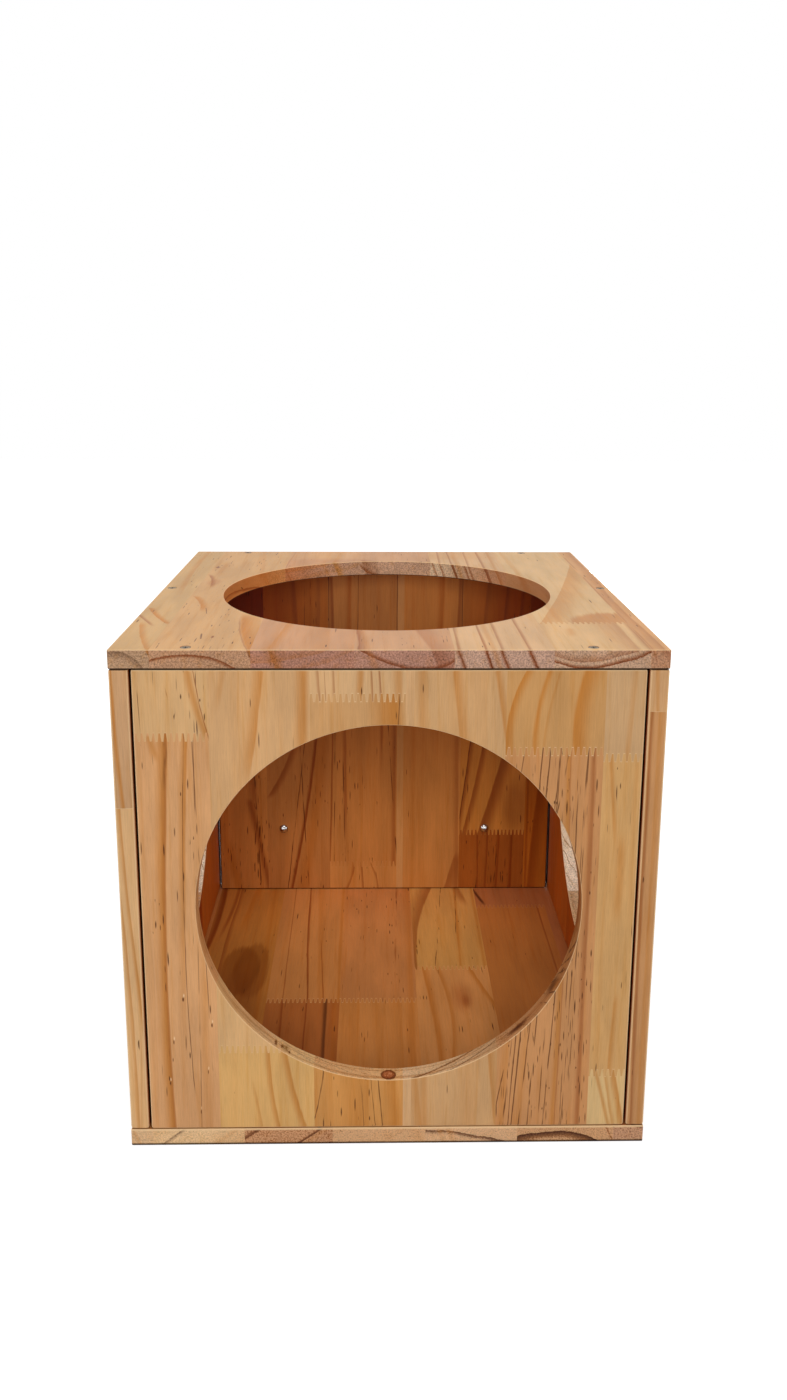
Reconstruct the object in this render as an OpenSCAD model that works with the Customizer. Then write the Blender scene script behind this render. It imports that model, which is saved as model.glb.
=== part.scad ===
// Cat condo: a cube of edge-glued pine boards with round openings in the front, top and both sides.
// Millimetres, +Z up, the origin under the middle of the bottom board, the front towards -Y.

/* [Box] */
// Outer width, left to right
box_w = 420; // [380:1:600]
// Outer depth, front to back
box_d = 420; // [380:1:600]
// Outer height, floor to top
box_h = 420; // [400:1:600]
// Thickness of the top and bottom boards
plate_t = 15; // [12:0.5:22]
// Thickness of the left and right side boards
side_t = 15; // [12:0.5:22]
// Thickness of the front and back panels
panel_t = 15; // [12:0.5:22]
// Gap between the end of the front or back panel and each side board
panel_gap = 1.6; // [0.2:0.1:2.4]

/* [Openings] */
// Diameter of the round opening in the front panel
front_hole_d = 302; // [200:1:320]
// Diameter of the round opening in the top board
top_hole_d = 302; // [200:1:320]
// Diameter of the round opening in each side board
side_hole_d = 302; // [200:1:320]
// Width of the small bevel round each opening
rim_bevel = 0.8; // [0.2:0.1:2]

/* [Edges] */
// Edge rounding of the front, back and side boards
panel_edge_r = 2.4; // [0.5:0.1:4]
// Edge rounding of the top and bottom boards
plate_edge_r = 1; // [0.4:0.1:3]

/* [Screws] */
// Diameter of a screw's shank
screw_d = 4; // [3:0.1:4.5]
// Length of a screw, head to tip
screw_l = 40; // [30:1:50]
// Diameter of a screw's countersunk head
screw_head_d = 8; // [7:0.1:9]
// Length of a screw's point
screw_point_l = 6; // [3:0.5:10]
// Depth of a screw head below the face of its board
head_recess = 0.3; // [0.1:0.1:1]
// Distance of the front and back screws from the middle of the box
screw_spread = 153; // [100:1:165]
// Distance of the side screws behind the middle of the box
side_screw_back = 12; // [-60:1:60]
// Length of one arm of the cross recess, from the middle
cross_arm = 2.2; // [1.6:0.1:2.6]
// Width of the slots of the cross recess
cross_slot_w = 0.9; // [0.6:0.1:1.2]
// Depth of the cross recess
cross_depth = 1.8; // [1:0.1:2.2]

/* [Link bolts] */
// Distance between the two domed bolts in the back panel
bolt_spacing = 236; // [120:1:300]
// Height of the bolts above the floor
bolt_z = 92; // [50:1:300]
// Diameter of a bolt's shank
bolt_d = 6; // [5:0.1:7]
// Diameter of a bolt's domed head
bolt_head_d = 10.5; // [9:0.1:16]
// Height of a bolt's domed head
bolt_head_h = 4; // [2.5:0.1:4.5]
// Outer diameter of a threaded insert
insert_d = 9; // [8.5:0.1:12]
// Length of a threaded insert
insert_l = 10; // [6:0.5:11]
// Diameter of an insert's flange
insert_flange_d = 13; // [12.5:0.5:18]
// Thickness of an insert's flange
insert_flange_t = 1.5; // [1:0.1:2]

/* [Clearances] */
// Room round a screw in the holes of the top and bottom boards
screw_clearance = 0.3; // [0.1:0.05:0.5]
// Room round a screw in the pilot holes of the upright boards
pilot_clearance = 0.05; // [0.02:0.01:0.1]
// Room round a bolt in the back panel and in its insert
bolt_clearance = 0.1; // [0.05:0.05:0.2]
// Room round an insert in the back panel
insert_clearance = 0.05; // [0.02:0.01:0.1]

/* [Hidden] */
$fn = 96;
// Overlap of a cut past the face that it opens
past = 1;

inner_w = box_w - 2 * side_t;
inner_h = box_h - 2 * plate_t;
panel_w = inner_w - 2 * panel_gap;
side_x = box_w / 2 - side_t / 2;
panel_y = box_d / 2 - panel_t / 2;
mid_z = box_h / 2;
screw_head_h = (screw_head_d - screw_d) / 2;
screw_reach = screw_l + head_recess;
pilot_l = screw_reach - plate_t + screw_clearance;
bolt_l = panel_t - bolt_clearance;
wood = "#d9a866";
wood_light = "#e0b478";
zinc = "#a9abad";
chrome = "#d4d6d8";

// Screw places: front pair, side pair and back pair, as seen from above
front_screws = [for (s = [-1, 1]) [s * screw_spread, -panel_y]];
side_screws = [for (s = [-1, 1]) [s * side_x, side_screw_back]];
back_screws = [for (s = [-1, 1]) [s * screw_spread, panel_y]];
all_screws = concat(front_screws, side_screws, back_screws);
bolt_places = [for (s = [-1, 1]) s * bolt_spacing / 2];

// Rectangle with round corners, centred
module round_rect(a, b, r) {
    square([a - 2 * r, b], center = true);
    square([a, b - 2 * r], center = true);
    for (x = [-1, 1], y = [-1, 1])
        translate([x * (a / 2 - r), y * (b / 2 - r)])
            circle(r);
}

// Board of the given size, centred, with every edge rounded
module eased_board(size, r) {
    intersection() {
        linear_extrude(size.z, center = true)
            round_rect(size.x, size.y, r);
        rotate([90, 0, 0])
            linear_extrude(size.y, center = true)
                round_rect(size.x, size.z, r);
        rotate([90, 0, 90])
            linear_extrude(size.x, center = true)
                round_rect(size.y, size.z, r);
    }
}

// Round opening through a board of thickness t, bevelled at both faces, along Z
module round_opening(d, t) {
    cylinder(h = t + 2 * past, d = d, center = true);
    for (m = [0, 1])
        mirror([0, 0, m])
            translate([0, 0, t / 2 - rim_bevel])
                cylinder(h = rim_bevel + past, d1 = d, d2 = d + 2 * (rim_bevel + past));
}

// Countersunk hole through a plate, the head's side at z = 0 and the shank towards -Z
module countersunk_hole() {
    hole_d = screw_d + 2 * screw_clearance;
    sink_d = screw_head_d + 2 * screw_clearance;
    translate([0, 0, -plate_t - past])
        cylinder(h = plate_t + 2 * past, d = hole_d);
    translate([0, 0, -head_recess - screw_head_h])
        cylinder(h = screw_head_h, d1 = hole_d, d2 = sink_d);
    translate([0, 0, -head_recess])
        cylinder(h = head_recess + past, d = sink_d);
}

// Tapered arm pair of the cross recess, cut from z = 0 downwards
module cross_recess() {
    tip = cross_slot_w / 2;
    for (a = [0, 90])
        rotate([90, 0, a])
            linear_extrude(cross_slot_w, center = true)
                polygon([[-cross_arm, past], [-cross_arm, 0], [-tip, -cross_depth],
                         [tip, -cross_depth], [cross_arm, 0], [cross_arm, past]]);
}

// Countersunk screw, its head's face at z = 0 and its point towards -Z
module screw() {
    difference() {
        rotate_extrude()
            polygon([[0, 0], [screw_head_d / 2, 0], [screw_d / 2, -screw_head_h],
                     [screw_d / 2, -screw_l + screw_point_l], [0, -screw_l]]);
        cross_recess();
    }
}

// Screws at the given places, driven down through the top board
module top_screws(places) {
    color(zinc)
        for (p = places)
            translate([p.x, p.y, box_h - head_recess])
                screw();
}

// Screws at the given places, driven up through the bottom board
module bottom_screws(places) {
    color(zinc)
        for (p = places)
            translate([p.x, p.y, head_recess])
                rotate([180, 0, 0])
                    screw();
}

// Pilot holes in the top and bottom edges of an upright board
module pilot_holes(places) {
    pilot_d = screw_d + 2 * pilot_clearance;
    for (p = places) {
        translate([p.x, p.y, box_h - plate_t - pilot_l])
            cylinder(h = pilot_l + past, d = pilot_d);
        translate([p.x, p.y, plate_t - past])
            cylinder(h = pilot_l + past, d = pilot_d);
    }
}

module top_board() {
    color(wood_light)
        difference() {
            translate([0, 0, box_h - plate_t / 2])
                eased_board([box_w, box_d, plate_t], plate_edge_r);
            translate([0, 0, box_h - plate_t / 2])
                round_opening(top_hole_d, plate_t);
            for (p = all_screws)
                translate([p.x, p.y, box_h])
                    countersunk_hole();
        }
}

module bottom_board() {
    color(wood_light)
        difference() {
            translate([0, 0, plate_t / 2])
                eased_board([box_w, box_d, plate_t], plate_edge_r);
            for (p = all_screws)
                translate([p.x, p.y, 0])
                    rotate([180, 0, 0])
                        countersunk_hole();
        }
}

// Side board, on the left for side = -1 and on the right for side = 1
module side_board(side) {
    color(wood)
        difference() {
            translate([side * side_x, 0, mid_z])
                eased_board([side_t, box_d, inner_h], panel_edge_r);
            translate([side * side_x, 0, mid_z])
                rotate([0, 90, 0])
                    round_opening(side_hole_d, side_t);
            pilot_holes([[side * side_x, side_screw_back]]);
        }
}

module left_side_board() {
    side_board(-1);
}

module right_side_board() {
    side_board(1);
}

module front_panel() {
    color(wood)
        difference() {
            translate([0, -panel_y, mid_z])
                eased_board([panel_w, panel_t, inner_h], panel_edge_r);
            translate([0, -panel_y, mid_z])
                rotate([90, 0, 0])
                    round_opening(front_hole_d, panel_t);
            pilot_holes(front_screws);
        }
}

// Bolt hole through the back panel, from the inner face at z = 0 to the outer face, with the insert's seat
module bolt_hole() {
    translate([0, 0, -past])
        cylinder(h = panel_t + 2 * past, d = bolt_d + 2 * bolt_clearance);
    translate([0, 0, panel_t - insert_l])
        cylinder(h = insert_l + past, d = insert_d + 2 * insert_clearance);
    translate([0, 0, panel_t - insert_flange_t])
        cylinder(h = insert_flange_t + past, d = insert_flange_d + 2 * insert_clearance);
}

// Children at each bolt place, +Z of the child towards the outer face and z = 0 on the inner face
module at_bolts() {
    for (x = bolt_places)
        translate([x, box_d / 2 - panel_t, bolt_z])
            rotate([-90, 0, 0])
                children();
}

module back_panel() {
    color(wood)
        difference() {
            translate([0, panel_y, mid_z])
                eased_board([panel_w, panel_t, inner_h], panel_edge_r);
            pilot_holes(back_screws);
            at_bolts()
                bolt_hole();
        }
}

// Domed bolts, their heads on the inner face of the back panel
module link_bolts() {
    head_r = bolt_head_d / 2;
    dome_r = (head_r * head_r + bolt_head_h * bolt_head_h) / (2 * bolt_head_h);
    color(chrome)
        at_bolts() {
            cylinder(h = bolt_l, d = bolt_d);
            intersection() {
                translate([0, 0, dome_r - bolt_head_h])
                    sphere(dome_r);
                translate([0, 0, -bolt_head_h])
                    cylinder(h = bolt_head_h, d = bolt_head_d);
            }
        }
}

// Threaded inserts, flush with the outer face of the back panel
module link_inserts() {
    color(zinc)
        at_bolts()
            difference() {
                union() {
                    translate([0, 0, panel_t - insert_l])
                        cylinder(h = insert_l, d = insert_d);
                    translate([0, 0, panel_t - insert_flange_t])
                        cylinder(h = insert_flange_t, d = insert_flange_d);
                }
                translate([0, 0, -past])
                    cylinder(h = panel_t + 2 * past, d = bolt_d + 2 * bolt_clearance);
            }
}

top_board();
bottom_board();
left_side_board();
right_side_board();
front_panel();
back_panel();
top_screws(front_screws);  // top_front_screws
top_screws(side_screws);  // top_side_screws
top_screws(back_screws);  // top_back_screws
bottom_screws(front_screws);  // bottom_front_screws
bottom_screws(side_screws);  // bottom_side_screws
bottom_screws(back_screws);  // bottom_back_screws
link_bolts();
link_inserts();
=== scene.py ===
import math
import random
from functools import partial
import bpy
from mathutils import Euler, Matrix, Vector


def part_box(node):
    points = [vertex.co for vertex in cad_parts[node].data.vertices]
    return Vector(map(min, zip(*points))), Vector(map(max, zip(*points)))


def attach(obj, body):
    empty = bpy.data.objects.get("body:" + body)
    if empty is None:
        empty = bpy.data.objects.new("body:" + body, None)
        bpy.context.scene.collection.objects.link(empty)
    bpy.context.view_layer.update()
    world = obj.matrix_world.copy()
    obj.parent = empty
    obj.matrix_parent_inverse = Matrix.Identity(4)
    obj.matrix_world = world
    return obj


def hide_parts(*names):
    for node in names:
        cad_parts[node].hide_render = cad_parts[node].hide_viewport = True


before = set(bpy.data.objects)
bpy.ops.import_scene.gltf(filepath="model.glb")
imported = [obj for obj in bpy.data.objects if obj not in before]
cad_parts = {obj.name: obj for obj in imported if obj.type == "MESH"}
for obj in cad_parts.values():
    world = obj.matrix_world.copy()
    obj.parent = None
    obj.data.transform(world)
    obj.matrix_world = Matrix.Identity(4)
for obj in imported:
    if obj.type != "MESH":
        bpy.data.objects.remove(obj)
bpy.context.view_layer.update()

mm = 0.001
print("frame loaded:", len(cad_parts), "pieces")


# Modelling helpers

def deselectAll():
    if bpy.context.object and bpy.context.object.mode != "OBJECT":
        bpy.ops.object.mode_set(mode="OBJECT")
    bpy.ops.object.select_all(action="DESELECT")


def makeActive(piece):
    deselectAll()
    piece.select_set(True)
    bpy.context.view_layer.objects.active = piece


def pickParts(piece, kind, wanted):
    # leaves the piece in edit mode with the wanted edges or faces selected
    makeActive(piece)
    bpy.ops.object.mode_set(mode="EDIT")
    bpy.ops.mesh.select_mode(type=kind)
    bpy.ops.mesh.select_all(action="DESELECT")
    bpy.ops.object.mode_set(mode="OBJECT")
    for part in piece.data.edges if kind == "EDGE" else piece.data.polygons:
        part.select = wanted(part)
    bpy.ops.object.mode_set(mode="EDIT")


def fixPlace(piece):
    # the place of a new piece goes into its mesh
    makeActive(piece)
    bpy.ops.object.transform_apply(location=True, rotation=True, scale=True)


def cutAway(piece, cutter):
    cut = piece.modifiers.new("cut", "BOOLEAN")
    cut.operation = "DIFFERENCE"
    cut.solver = "EXACT"
    cut.object = cutter
    makeActive(piece)
    bpy.ops.object.modifier_apply(modifier=cut.name)
    bpy.data.objects.remove(cutter)


def settleNormals(piece, angle=38):
    # round edges shade smooth while the wide faces stay flat
    makeActive(piece)
    bpy.ops.object.shade_smooth_by_angle(angle=math.radians(angle))
    weigh = piece.modifiers.new("weigh", "WEIGHTED_NORMAL")
    weigh.keep_sharp = True
    bpy.ops.object.modifier_apply(modifier=weigh.name)


# Shader helpers

def plug(tree, socket, value):
    if isinstance(value, bpy.types.NodeSocket):
        tree.links.new(value, socket)
    else:
        socket.default_value = value


def sums(operation, tree, *values):
    made = tree.nodes.new("ShaderNodeMath")
    made.operation = operation
    for socket, value in zip(made.inputs, values):
        plug(tree, socket, value)
    return made.outputs[0]


times, timesPlus, plus, minus, over, sizeOf, least, most, under, beyond, zigzag = [
    partial(sums, operation) for operation in (
        "MULTIPLY", "MULTIPLY_ADD", "ADD", "SUBTRACT", "DIVIDE", "ABSOLUTE", "MINIMUM", "MAXIMUM",
        "LESS_THAN", "GREATER_THAN", "PINGPONG")]


def vectorOf(tree, x, y, z):
    made = tree.nodes.new("ShaderNodeCombineXYZ")
    for socket, value in zip(made.inputs, (x, y, z)):
        plug(tree, socket, value)
    return made.outputs[0]


def partsOf(tree, vector):
    made = tree.nodes.new("ShaderNodeSeparateXYZ")
    plug(tree, made.inputs[0], vector)
    return made.outputs


def lengthOf(tree, vector):
    made = tree.nodes.new("ShaderNodeVectorMath")
    made.operation = "LENGTH"
    plug(tree, made.inputs[0], vector)
    return made.outputs["Value"]


def softStep(tree, value, start, end, low=0.0, high=1.0):
    made = tree.nodes.new("ShaderNodeMapRange")
    made.interpolation_type = "SMOOTHSTEP"
    made.clamp = False  # a smooth step holds its own ends
    for socket, given in zip(made.inputs, (value, start, end, low, high)):
        plug(tree, socket, given)
    return made.outputs[0]


def noiseOf(tree, vector, scale, detail=2.0, roughness=0.5):
    made = tree.nodes.new("ShaderNodeTexNoise")
    plug(tree, made.inputs["Vector"], vector)
    made.inputs["Scale"].default_value = scale
    made.inputs["Detail"].default_value = detail
    made.inputs["Roughness"].default_value = roughness
    return made.outputs


def blend(tree, amount, below, above, way="MIX"):
    made = tree.nodes.new("ShaderNodeMix")
    made.data_type = "RGBA"
    made.blend_type = way
    for place, value in ((0, amount), (6, below), (7, above)):
        plug(tree, made.inputs[place], value if not isinstance(value, tuple) else value + (1.0,))
    return made.outputs[2]


def blendNumber(tree, amount, below, above):
    made = tree.nodes.new("ShaderNodeMix")
    for place, value in ((0, amount), (2, below), (3, above)):
        plug(tree, made.inputs[place], value)
    return made.outputs[0]


def newMaterial(name):
    material = bpy.data.materials.new(name)
    material.use_nodes = True
    tree = material.node_tree
    surface = tree.nodes["Principled BSDF"]
    return material, tree, surface


# Pine: tones of the early wood and of the late wood that ends each growth ring
pineTones = {
    "cream": (0.636, 0.388, 0.208),
    "pale": (0.606, 0.344, 0.162),
    "straw": (0.606, 0.324, 0.126),
    "tan": (0.556, 0.279, 0.115),
    "pink": (0.576, 0.294, 0.147),
    "rose": (0.505, 0.235, 0.104),
    "honey": (0.525, 0.216, 0.060),
}
lateTones = {
    "amber": (0.510, 0.205, 0.038),
    "rust": (0.330, 0.100, 0.022),
    "brown": (0.120, 0.036, 0.010),
    "sap": (0.742, 0.454, 0.203),
}

pineFinish = {
    "wander": 7.0,          # sideways drift of the rings, mm
    "jitter": 0.9,          # ragged edge of the rings, mm
    "ringSpan": 90.0,       # width of the rings drawn in one length, mm
    "ringEdge": 0.5,        # sharp side of a ring, mm
    "staveShift": 237.0,    # every stave has its own stretch of grain, mm
    "slowRun": 0.22,        # how far slow changes are drawn out along the grain,
    "fineRun": 0.045,       # and how far fibres are
    "fingerPitch": 4.4,
    "fingerLength": 6.6,
    "fingerSteep": 2.6,
    "glueWidth": 0.42,
    "glueCore": 0.1,
    "flankNear": 0.86,      # the slant of a finger's flank brings its glue line nearer,
    "flankGlue": 0.65,      # and makes it fainter
    "endFray": 0.1,         # ragged ends of joints and streaks, mm
    "lineDrift": 0.3,       # share of the drift that streaks take
    "markFray": 0.3,        # ragged edge of a knot, and its reach, in shares of its size
    "markReach": 1.15,
    "rimReach": 160.0,      # what is nearer the middle of a board is the rim of its opening, mm
    "glueTone": (0.74, 0.54, 0.31),
    "bandTone": (0.93, 0.82, 0.62),
    "dashTone": (0.070, 0.020, 0.006),
    "knotTone": (0.255, 0.070, 0.018),
    # tones of the painted highlight on edges and of the painted shade in joints
    "highlightTone": (0.84, 0.58, 0.32),
    "seamShadeTone": (0.012, 0.005, 0.003),
    "dotDepth": 0.32,       # how dark cells and pores are, and the painted shade in the joints
    "poreDepth": 0.06,
    "seamShadeDepth": 0.92,
    "highlightAmount": 0.65,     # how strong the painted highlight is on rounded edges, and on a band under a top edge
    "lipHighlightAmount": 0.7,
    # the painted shade in the gaps fades in and out over these, mm
    "gapShadeEnds": (0.8, 3.0),
    "bandFray": 14.0,
    "layerRun": 0.03,
    "sheen": 0.12,
    "depth": (0.35, 0.85),  # contrast of the grain outside, and inside or end on; the stronger contrast inside is painted shade
    "relief": (0.12, 0.3 * mm),
}

# scale, detail and roughness of each noise
pineNoise = {
    "wander": (0.016, 2.0),
    "jitter": (0.45, 2.0),
    "patchy": (0.11, 2.0),
    "drifts": (0.075, 1.0),
    "fibre": (1.1, 3.0, 0.6),
    "pores": (2.6, 1.0),
    "band": (0.20, 3.0, 0.65),
    "shade": (0.05, 2.0),
    "speck": (0.7, 2.0, 0.75),
    "dots": (1.25, 1.0),
    "layers": (0.42, 2.0, 0.6),
}

# where each soft step starts and ends, and its values there if they aren't 0 and 1
pineSteps = {
    "endOn": (0.35, 0.95),
    "faceOn": (0.6, 0.1),
    "inside": (0.5, 0.9),
    "sideOn": (0.25, 0.8),
    "edgeOn": (0.6, 0.2),
    "onEdge": (0.97, 0.80),
    "edgeHighlight": (0.30, 0.90),
    "broken": (0.42, 0.56),
    "dash": (1.1, 0.35),
    "drifts": (0.40, 0.62, 0.02, 1.7),
    "speck": (0.36, 0.62, 0.66, 1.17),
    "dots": (0.60, 0.70),
    "sanded": (0.14, 0.28, 0.0, 0.5),
    "rimBands": (1.3, 0.2),
    "layers": (0.50, 0.62),
    "fibre": (0.28, 0.72, 0.935, 1.045),
    "pores": (0.56, 0.68),
    "band": (0.48, 0.72, 0.0, 0.72),
    "shade": (0.3, 0.7, -0.08, 0.075),
    "glue": (0.35, 0.6, 0.3, 1.0),
    "roughness": (0.3, 0.7, 0.40, 0.54),
}

# what a length of timber has if it says nothing else
plainLength = {"pith": (-110.0, 25.0), "lean": (0.0, 0.0), "slant": 0.4, "glue": 0.6, "late": "amber"}


def timber(tone, dash, tint=(1, 1, 1), rings=(), start=None, **more):
    # one length of a stave; start is the place of its finger joint along the grain
    made = {"tone": tone, "dash": dash, "tint": tint, "rings": rings, **more}
    if start is not None:
        made["from"] = start
    return made


def stave(start, *lengths):
    return {"from": start, "lengths": lengths}


def streak(tone, start, end, wide, dark, bend=0.0, fade=(0.0, 0.0), broken=False, endOn=False):
    # one line of late wood from start to end, each (across, along), in mm
    return {"tone": tone, "start": start, "end": end, "wide": wide, "dark": dark,
            "bend": bend, "fade": fade, "broken": broken, "endOn": endOn}


amber, rust, brown, sap = [partial(streak, tone) for tone in lateTones]
canal = partial(streak, "brown", broken=True)  # resin, as a broken line
ringEnd = partial(streak, endOn=True)  # shows on end grain only


def knot(at, size, core=0.8, strength=0.9, tone=pineFinish["knotTone"]):
    # a knot, crack, fleck or flame, or a soft patch of painted shade; at and size are (across, through,
    # along), in mm
    return {"at": at, "size": size, "core": core, "strength": strength, "tone": tone}


def figure(tree, vector, name):
    return noiseOf(tree, vector, *pineNoise[name])["Fac"]


def pineStep(tree, value, name):
    return softStep(tree, value, *pineSteps[name])


def figureStep(tree, vector, name):
    return pineStep(tree, figure(tree, vector, name), name)


def ringRamp(tree, ring, length):
    early = tuple(part * tint for part, tint in zip(pineTones[length["tone"]], length["tint"]))
    late = lateTones[length["late"]]
    span = pineFinish["ringSpan"]
    edge = pineFinish["ringEdge"]
    ramp = tree.nodes.new("ShaderNodeValToRGB")
    plug(tree, ramp.inputs[0], ring)
    stops = []
    last = -span / 2
    for at, width, dark in sorted(length["rings"]):
        stops += [(max(at - width, last), 0.0), (at, dark), (at + edge, 0.0)]
        last = at + edge
    elements = ramp.color_ramp.elements
    elements[1].position = 1.0
    for element in elements:
        element.color = early + (1.0,)
    for at, dark in stops:
        spot = min(max(at / span + 0.5, 0.0), 1.0)
        element = elements.new(spot)
        element.color = tuple(e + (l - e) * dark for e, l in zip(early, late)) + (1.0,)
    return ramp.outputs[0]


ringDraw = {"first": 2.0, "most": 9, "wide": (0.25, 0.6), "dark": (0.25, 1.0), "apart": (0.6, 1.4)}


def growRings(seed, spacing, dark):
    # rings of a length that has no particular figure
    draw = random.Random(seed)
    rings = []
    half = pineFinish["ringSpan"] / 2
    at = -half + draw.uniform(ringDraw["first"], spacing)
    while at < half - 1 and len(rings) < ringDraw["most"]:
        wide = draw.uniform(*ringDraw["wide"]) * spacing
        rings.append((at, wide, dark * draw.uniform(*ringDraw["dark"])))
        at += spacing * draw.uniform(*ringDraw["apart"])
    return rings


def grainSpace(tree, board):
    # the board's own directions in mm, with every stave its own stretch of grain
    where = tree.nodes.new("ShaderNodeTexCoord")
    sized = tree.nodes.new("ShaderNodeVectorMath")
    sized.operation = "SCALE"
    sized.inputs["Scale"].default_value = 1.0 / mm
    plug(tree, sized.inputs[0], where.outputs["Object"])
    axes = partsOf(tree, sized.outputs[0])
    shape = tree.nodes.new("ShaderNodeNewGeometry")
    grain = {way: axes[board[way]] for way in ("across", "through", "along")}
    grain["axes"] = axes
    grain["place"] = sized.outputs[0]
    grain["facing"] = partsOf(tree, shape.outputs["Normal"])
    grain["endOn"] = pineStep(tree, sizeOf(tree, grain["facing"][board["along"]]), "endOn")
    grain["faceOn"] = pineStep(tree, grain["endOn"], "faceOn")
    across, through = grain["across"], grain["through"]
    grain["depth"] = minus(tree, through, board["face"])
    grain["inStave"] = [1.0]
    stretch = grain["along"]
    for part in board["staves"][1:]:
        grain["inStave"].append(beyond(tree, across, part["from"]))
        stretch = timesPlus(tree, grain["inStave"][-1], pineFinish["staveShift"], stretch)
    grain["stretch"] = stretch
    for name in ("slow", "fine"):
        drawnOut = times(tree, stretch, pineFinish[name + "Run"])
        grain[name] = vectorOf(tree, across, through, drawnOut)
    wander = partsOf(tree, noiseOf(tree, grain["slow"], *pineNoise["wander"])["Color"])
    jitter = partsOf(tree, noiseOf(tree, grain["fine"], *pineNoise["jitter"])["Color"])
    grain["jitter"] = jitter
    # joints and streaks end a little ragged
    grain["along"] = timesPlus(tree, jitter[2], pineFinish["endFray"], grain["along"])
    grain["bent"] = []
    for place, value in enumerate((across, through)):
        drift = timesPlus(tree, wander[place], 2 * pineFinish["wander"], -pineFinish["wander"])
        ragged = timesPlus(tree, jitter[place], 2 * pineFinish["jitter"], -pineFinish["jitter"])
        grain["bent"].append(plus(tree, value, plus(tree, drift, ragged)))
        if place == 0:
            lined = timesPlus(tree, drift, pineFinish["lineDrift"], across)
            grain["lined"] = plus(tree, lined, ragged)
    grain["patchy"] = figure(tree, grain["slow"], "patchy")
    return grain


def fingerOutline(tree, board, grain):
    # the comb of a finger joint as a shift along the grain, and where its flanks are
    pitch = pineFinish["fingerPitch"]
    first = board["staves"][0]["from"]
    swing = zigzag(tree, minus(tree, grain["across"], first), pitch / 2)
    swing = timesPlus(tree, swing, 4 / pitch, -1.0)
    steep = times(tree, swing, pineFinish["fingerSteep"])
    held = tree.nodes.new("ShaderNodeClamp")
    for socket, value in zip(held.inputs, (steep, -1.0, 1.0)):
        plug(tree, socket, value)
    comb = times(tree, held.outputs[0], pineFinish["fingerLength"] / 2)
    onFlank = under(tree, sizeOf(tree, steep), 1.0)
    return comb, onFlank


def paintStreak(tree, wood, grain, line, lined):
    (startAcross, startAlong), (endAcross, endAlong) = line["start"], line["end"]
    run = endAlong - startAlong
    step = timesPlus(tree, grain["along"], 1 / run, -startAlong / run)
    centre = timesPlus(tree, step, endAcross - startAcross, startAcross)
    if line["bend"]:
        bow = times(tree, step, minus(tree, 1.0, step))
        centre = timesPlus(tree, bow, 4 * line["bend"], centre)
    aside = minus(tree, lined, centre)
    before, after = line["wide"]
    amount = least(tree, softStep(tree, aside, -before, 0.0, 0.0, line["dark"]),
                   softStep(tree, aside, after, 0.0, 0.0, line["dark"]))
    fadeIn, fadeOut = line["fade"]
    if fadeIn:
        amount = times(tree, amount, softStep(tree, step, 0.0, fadeIn))
    if fadeOut:
        amount = times(tree, amount, softStep(tree, step, 1.0, 1.0 - fadeOut))
    if line["broken"]:
        amount = times(tree, amount, pineStep(tree, grain["patchy"], "broken"))
    if line["endOn"]:
        amount = times(tree, amount, grain["endOn"])
    elif line["tone"] == "brown":
        # resin canals show on the faces, not end on
        amount = times(tree, amount, grain["faceOn"])
    return blend(tree, amount, wood, lateTones[line["tone"]])


def paintMark(tree, wood, grain, mark):
    places = (grain["lined"], grain["through"], grain["along"])
    reach = [over(tree, minus(tree, value, centre), size)
             for value, centre, size in zip(places, mark["at"], mark["size"])]
    reach = lengthOf(tree, vectorOf(tree, *reach))
    ragged = timesPlus(tree, grain["jitter"][2], pineFinish["markFray"], reach)
    inside = softStep(tree, ragged, pineFinish["markReach"], mark["core"], 0.0, mark["strength"])
    return blend(tree, inside, wood, mark["tone"])


def paintLengths(tree, board, grain):
    # growth rings, streaks and marks of every length, from the first stave to the last
    comb, onFlank = fingerOutline(tree, board, grain)
    colour, dash, glue = pineTones["tan"], 0.0, 0.0
    staves = board["staves"]
    ends = [part["from"] for part in staves[1:]] + [board["to"]]
    span = pineFinish["ringSpan"]
    for place, part in enumerate(staves):
        middle = (part["from"] + ends[place]) / 2
        lines = 0.0
        for length in part["lengths"]:
            length = {**plainLength, "at": board["middle"], **length}
            pithAcross, pithThrough = length["pith"]
            leanAcross, leanThrough = length["lean"]
            away = minus(tree, grain["along"], length["at"])
            pathAcross = timesPlus(tree, away, leanAcross, middle + pithAcross)
            pathThrough = timesPlus(tree, away, leanThrough, board["face"] + pithThrough)
            offset = vectorOf(tree, minus(tree, grain["bent"][0], pathAcross),
                              minus(tree, grain["bent"][1], pathThrough), 0.0)
            ring = timesPlus(tree, lengthOf(tree, offset), 1 / span,
                             0.5 - math.hypot(pithAcross, pithThrough) / span)
            wood = ringRamp(tree, ring, length)
            if "streaks" in length:
                lined = timesPlus(tree, grain["depth"], length["slant"], grain["lined"])
                for line in length["streaks"]:
                    wood = paintStreak(tree, wood, grain, line, lined)
            for mark in length.get("marks", ()):
                wood = paintMark(tree, wood, grain, mark)
            here = grain["inStave"][place]
            if "from" in length:
                gap = minus(tree, grain["along"], plus(tree, comb, length["from"]))
                near = times(tree, sizeOf(tree, gap),
                             timesPlus(tree, onFlank, -pineFinish["flankNear"], 1.0))
                seen = length["glue"]
                line = softStep(tree, near, pineFinish["glueWidth"], pineFinish["glueCore"], 0.0,
                                timesPlus(tree, onFlank, -pineFinish["flankGlue"] * seen, seen))
                lines = most(tree, lines, line)
                here = times(tree, here, beyond(tree, gap, 0.0))
            colour = blend(tree, here, colour, wood)
            dash = blendNumber(tree, here, dash, length["dash"])
        glue = blendNumber(tree, grain["inStave"][place], glue, lines)
    return colour, dash, glue


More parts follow.
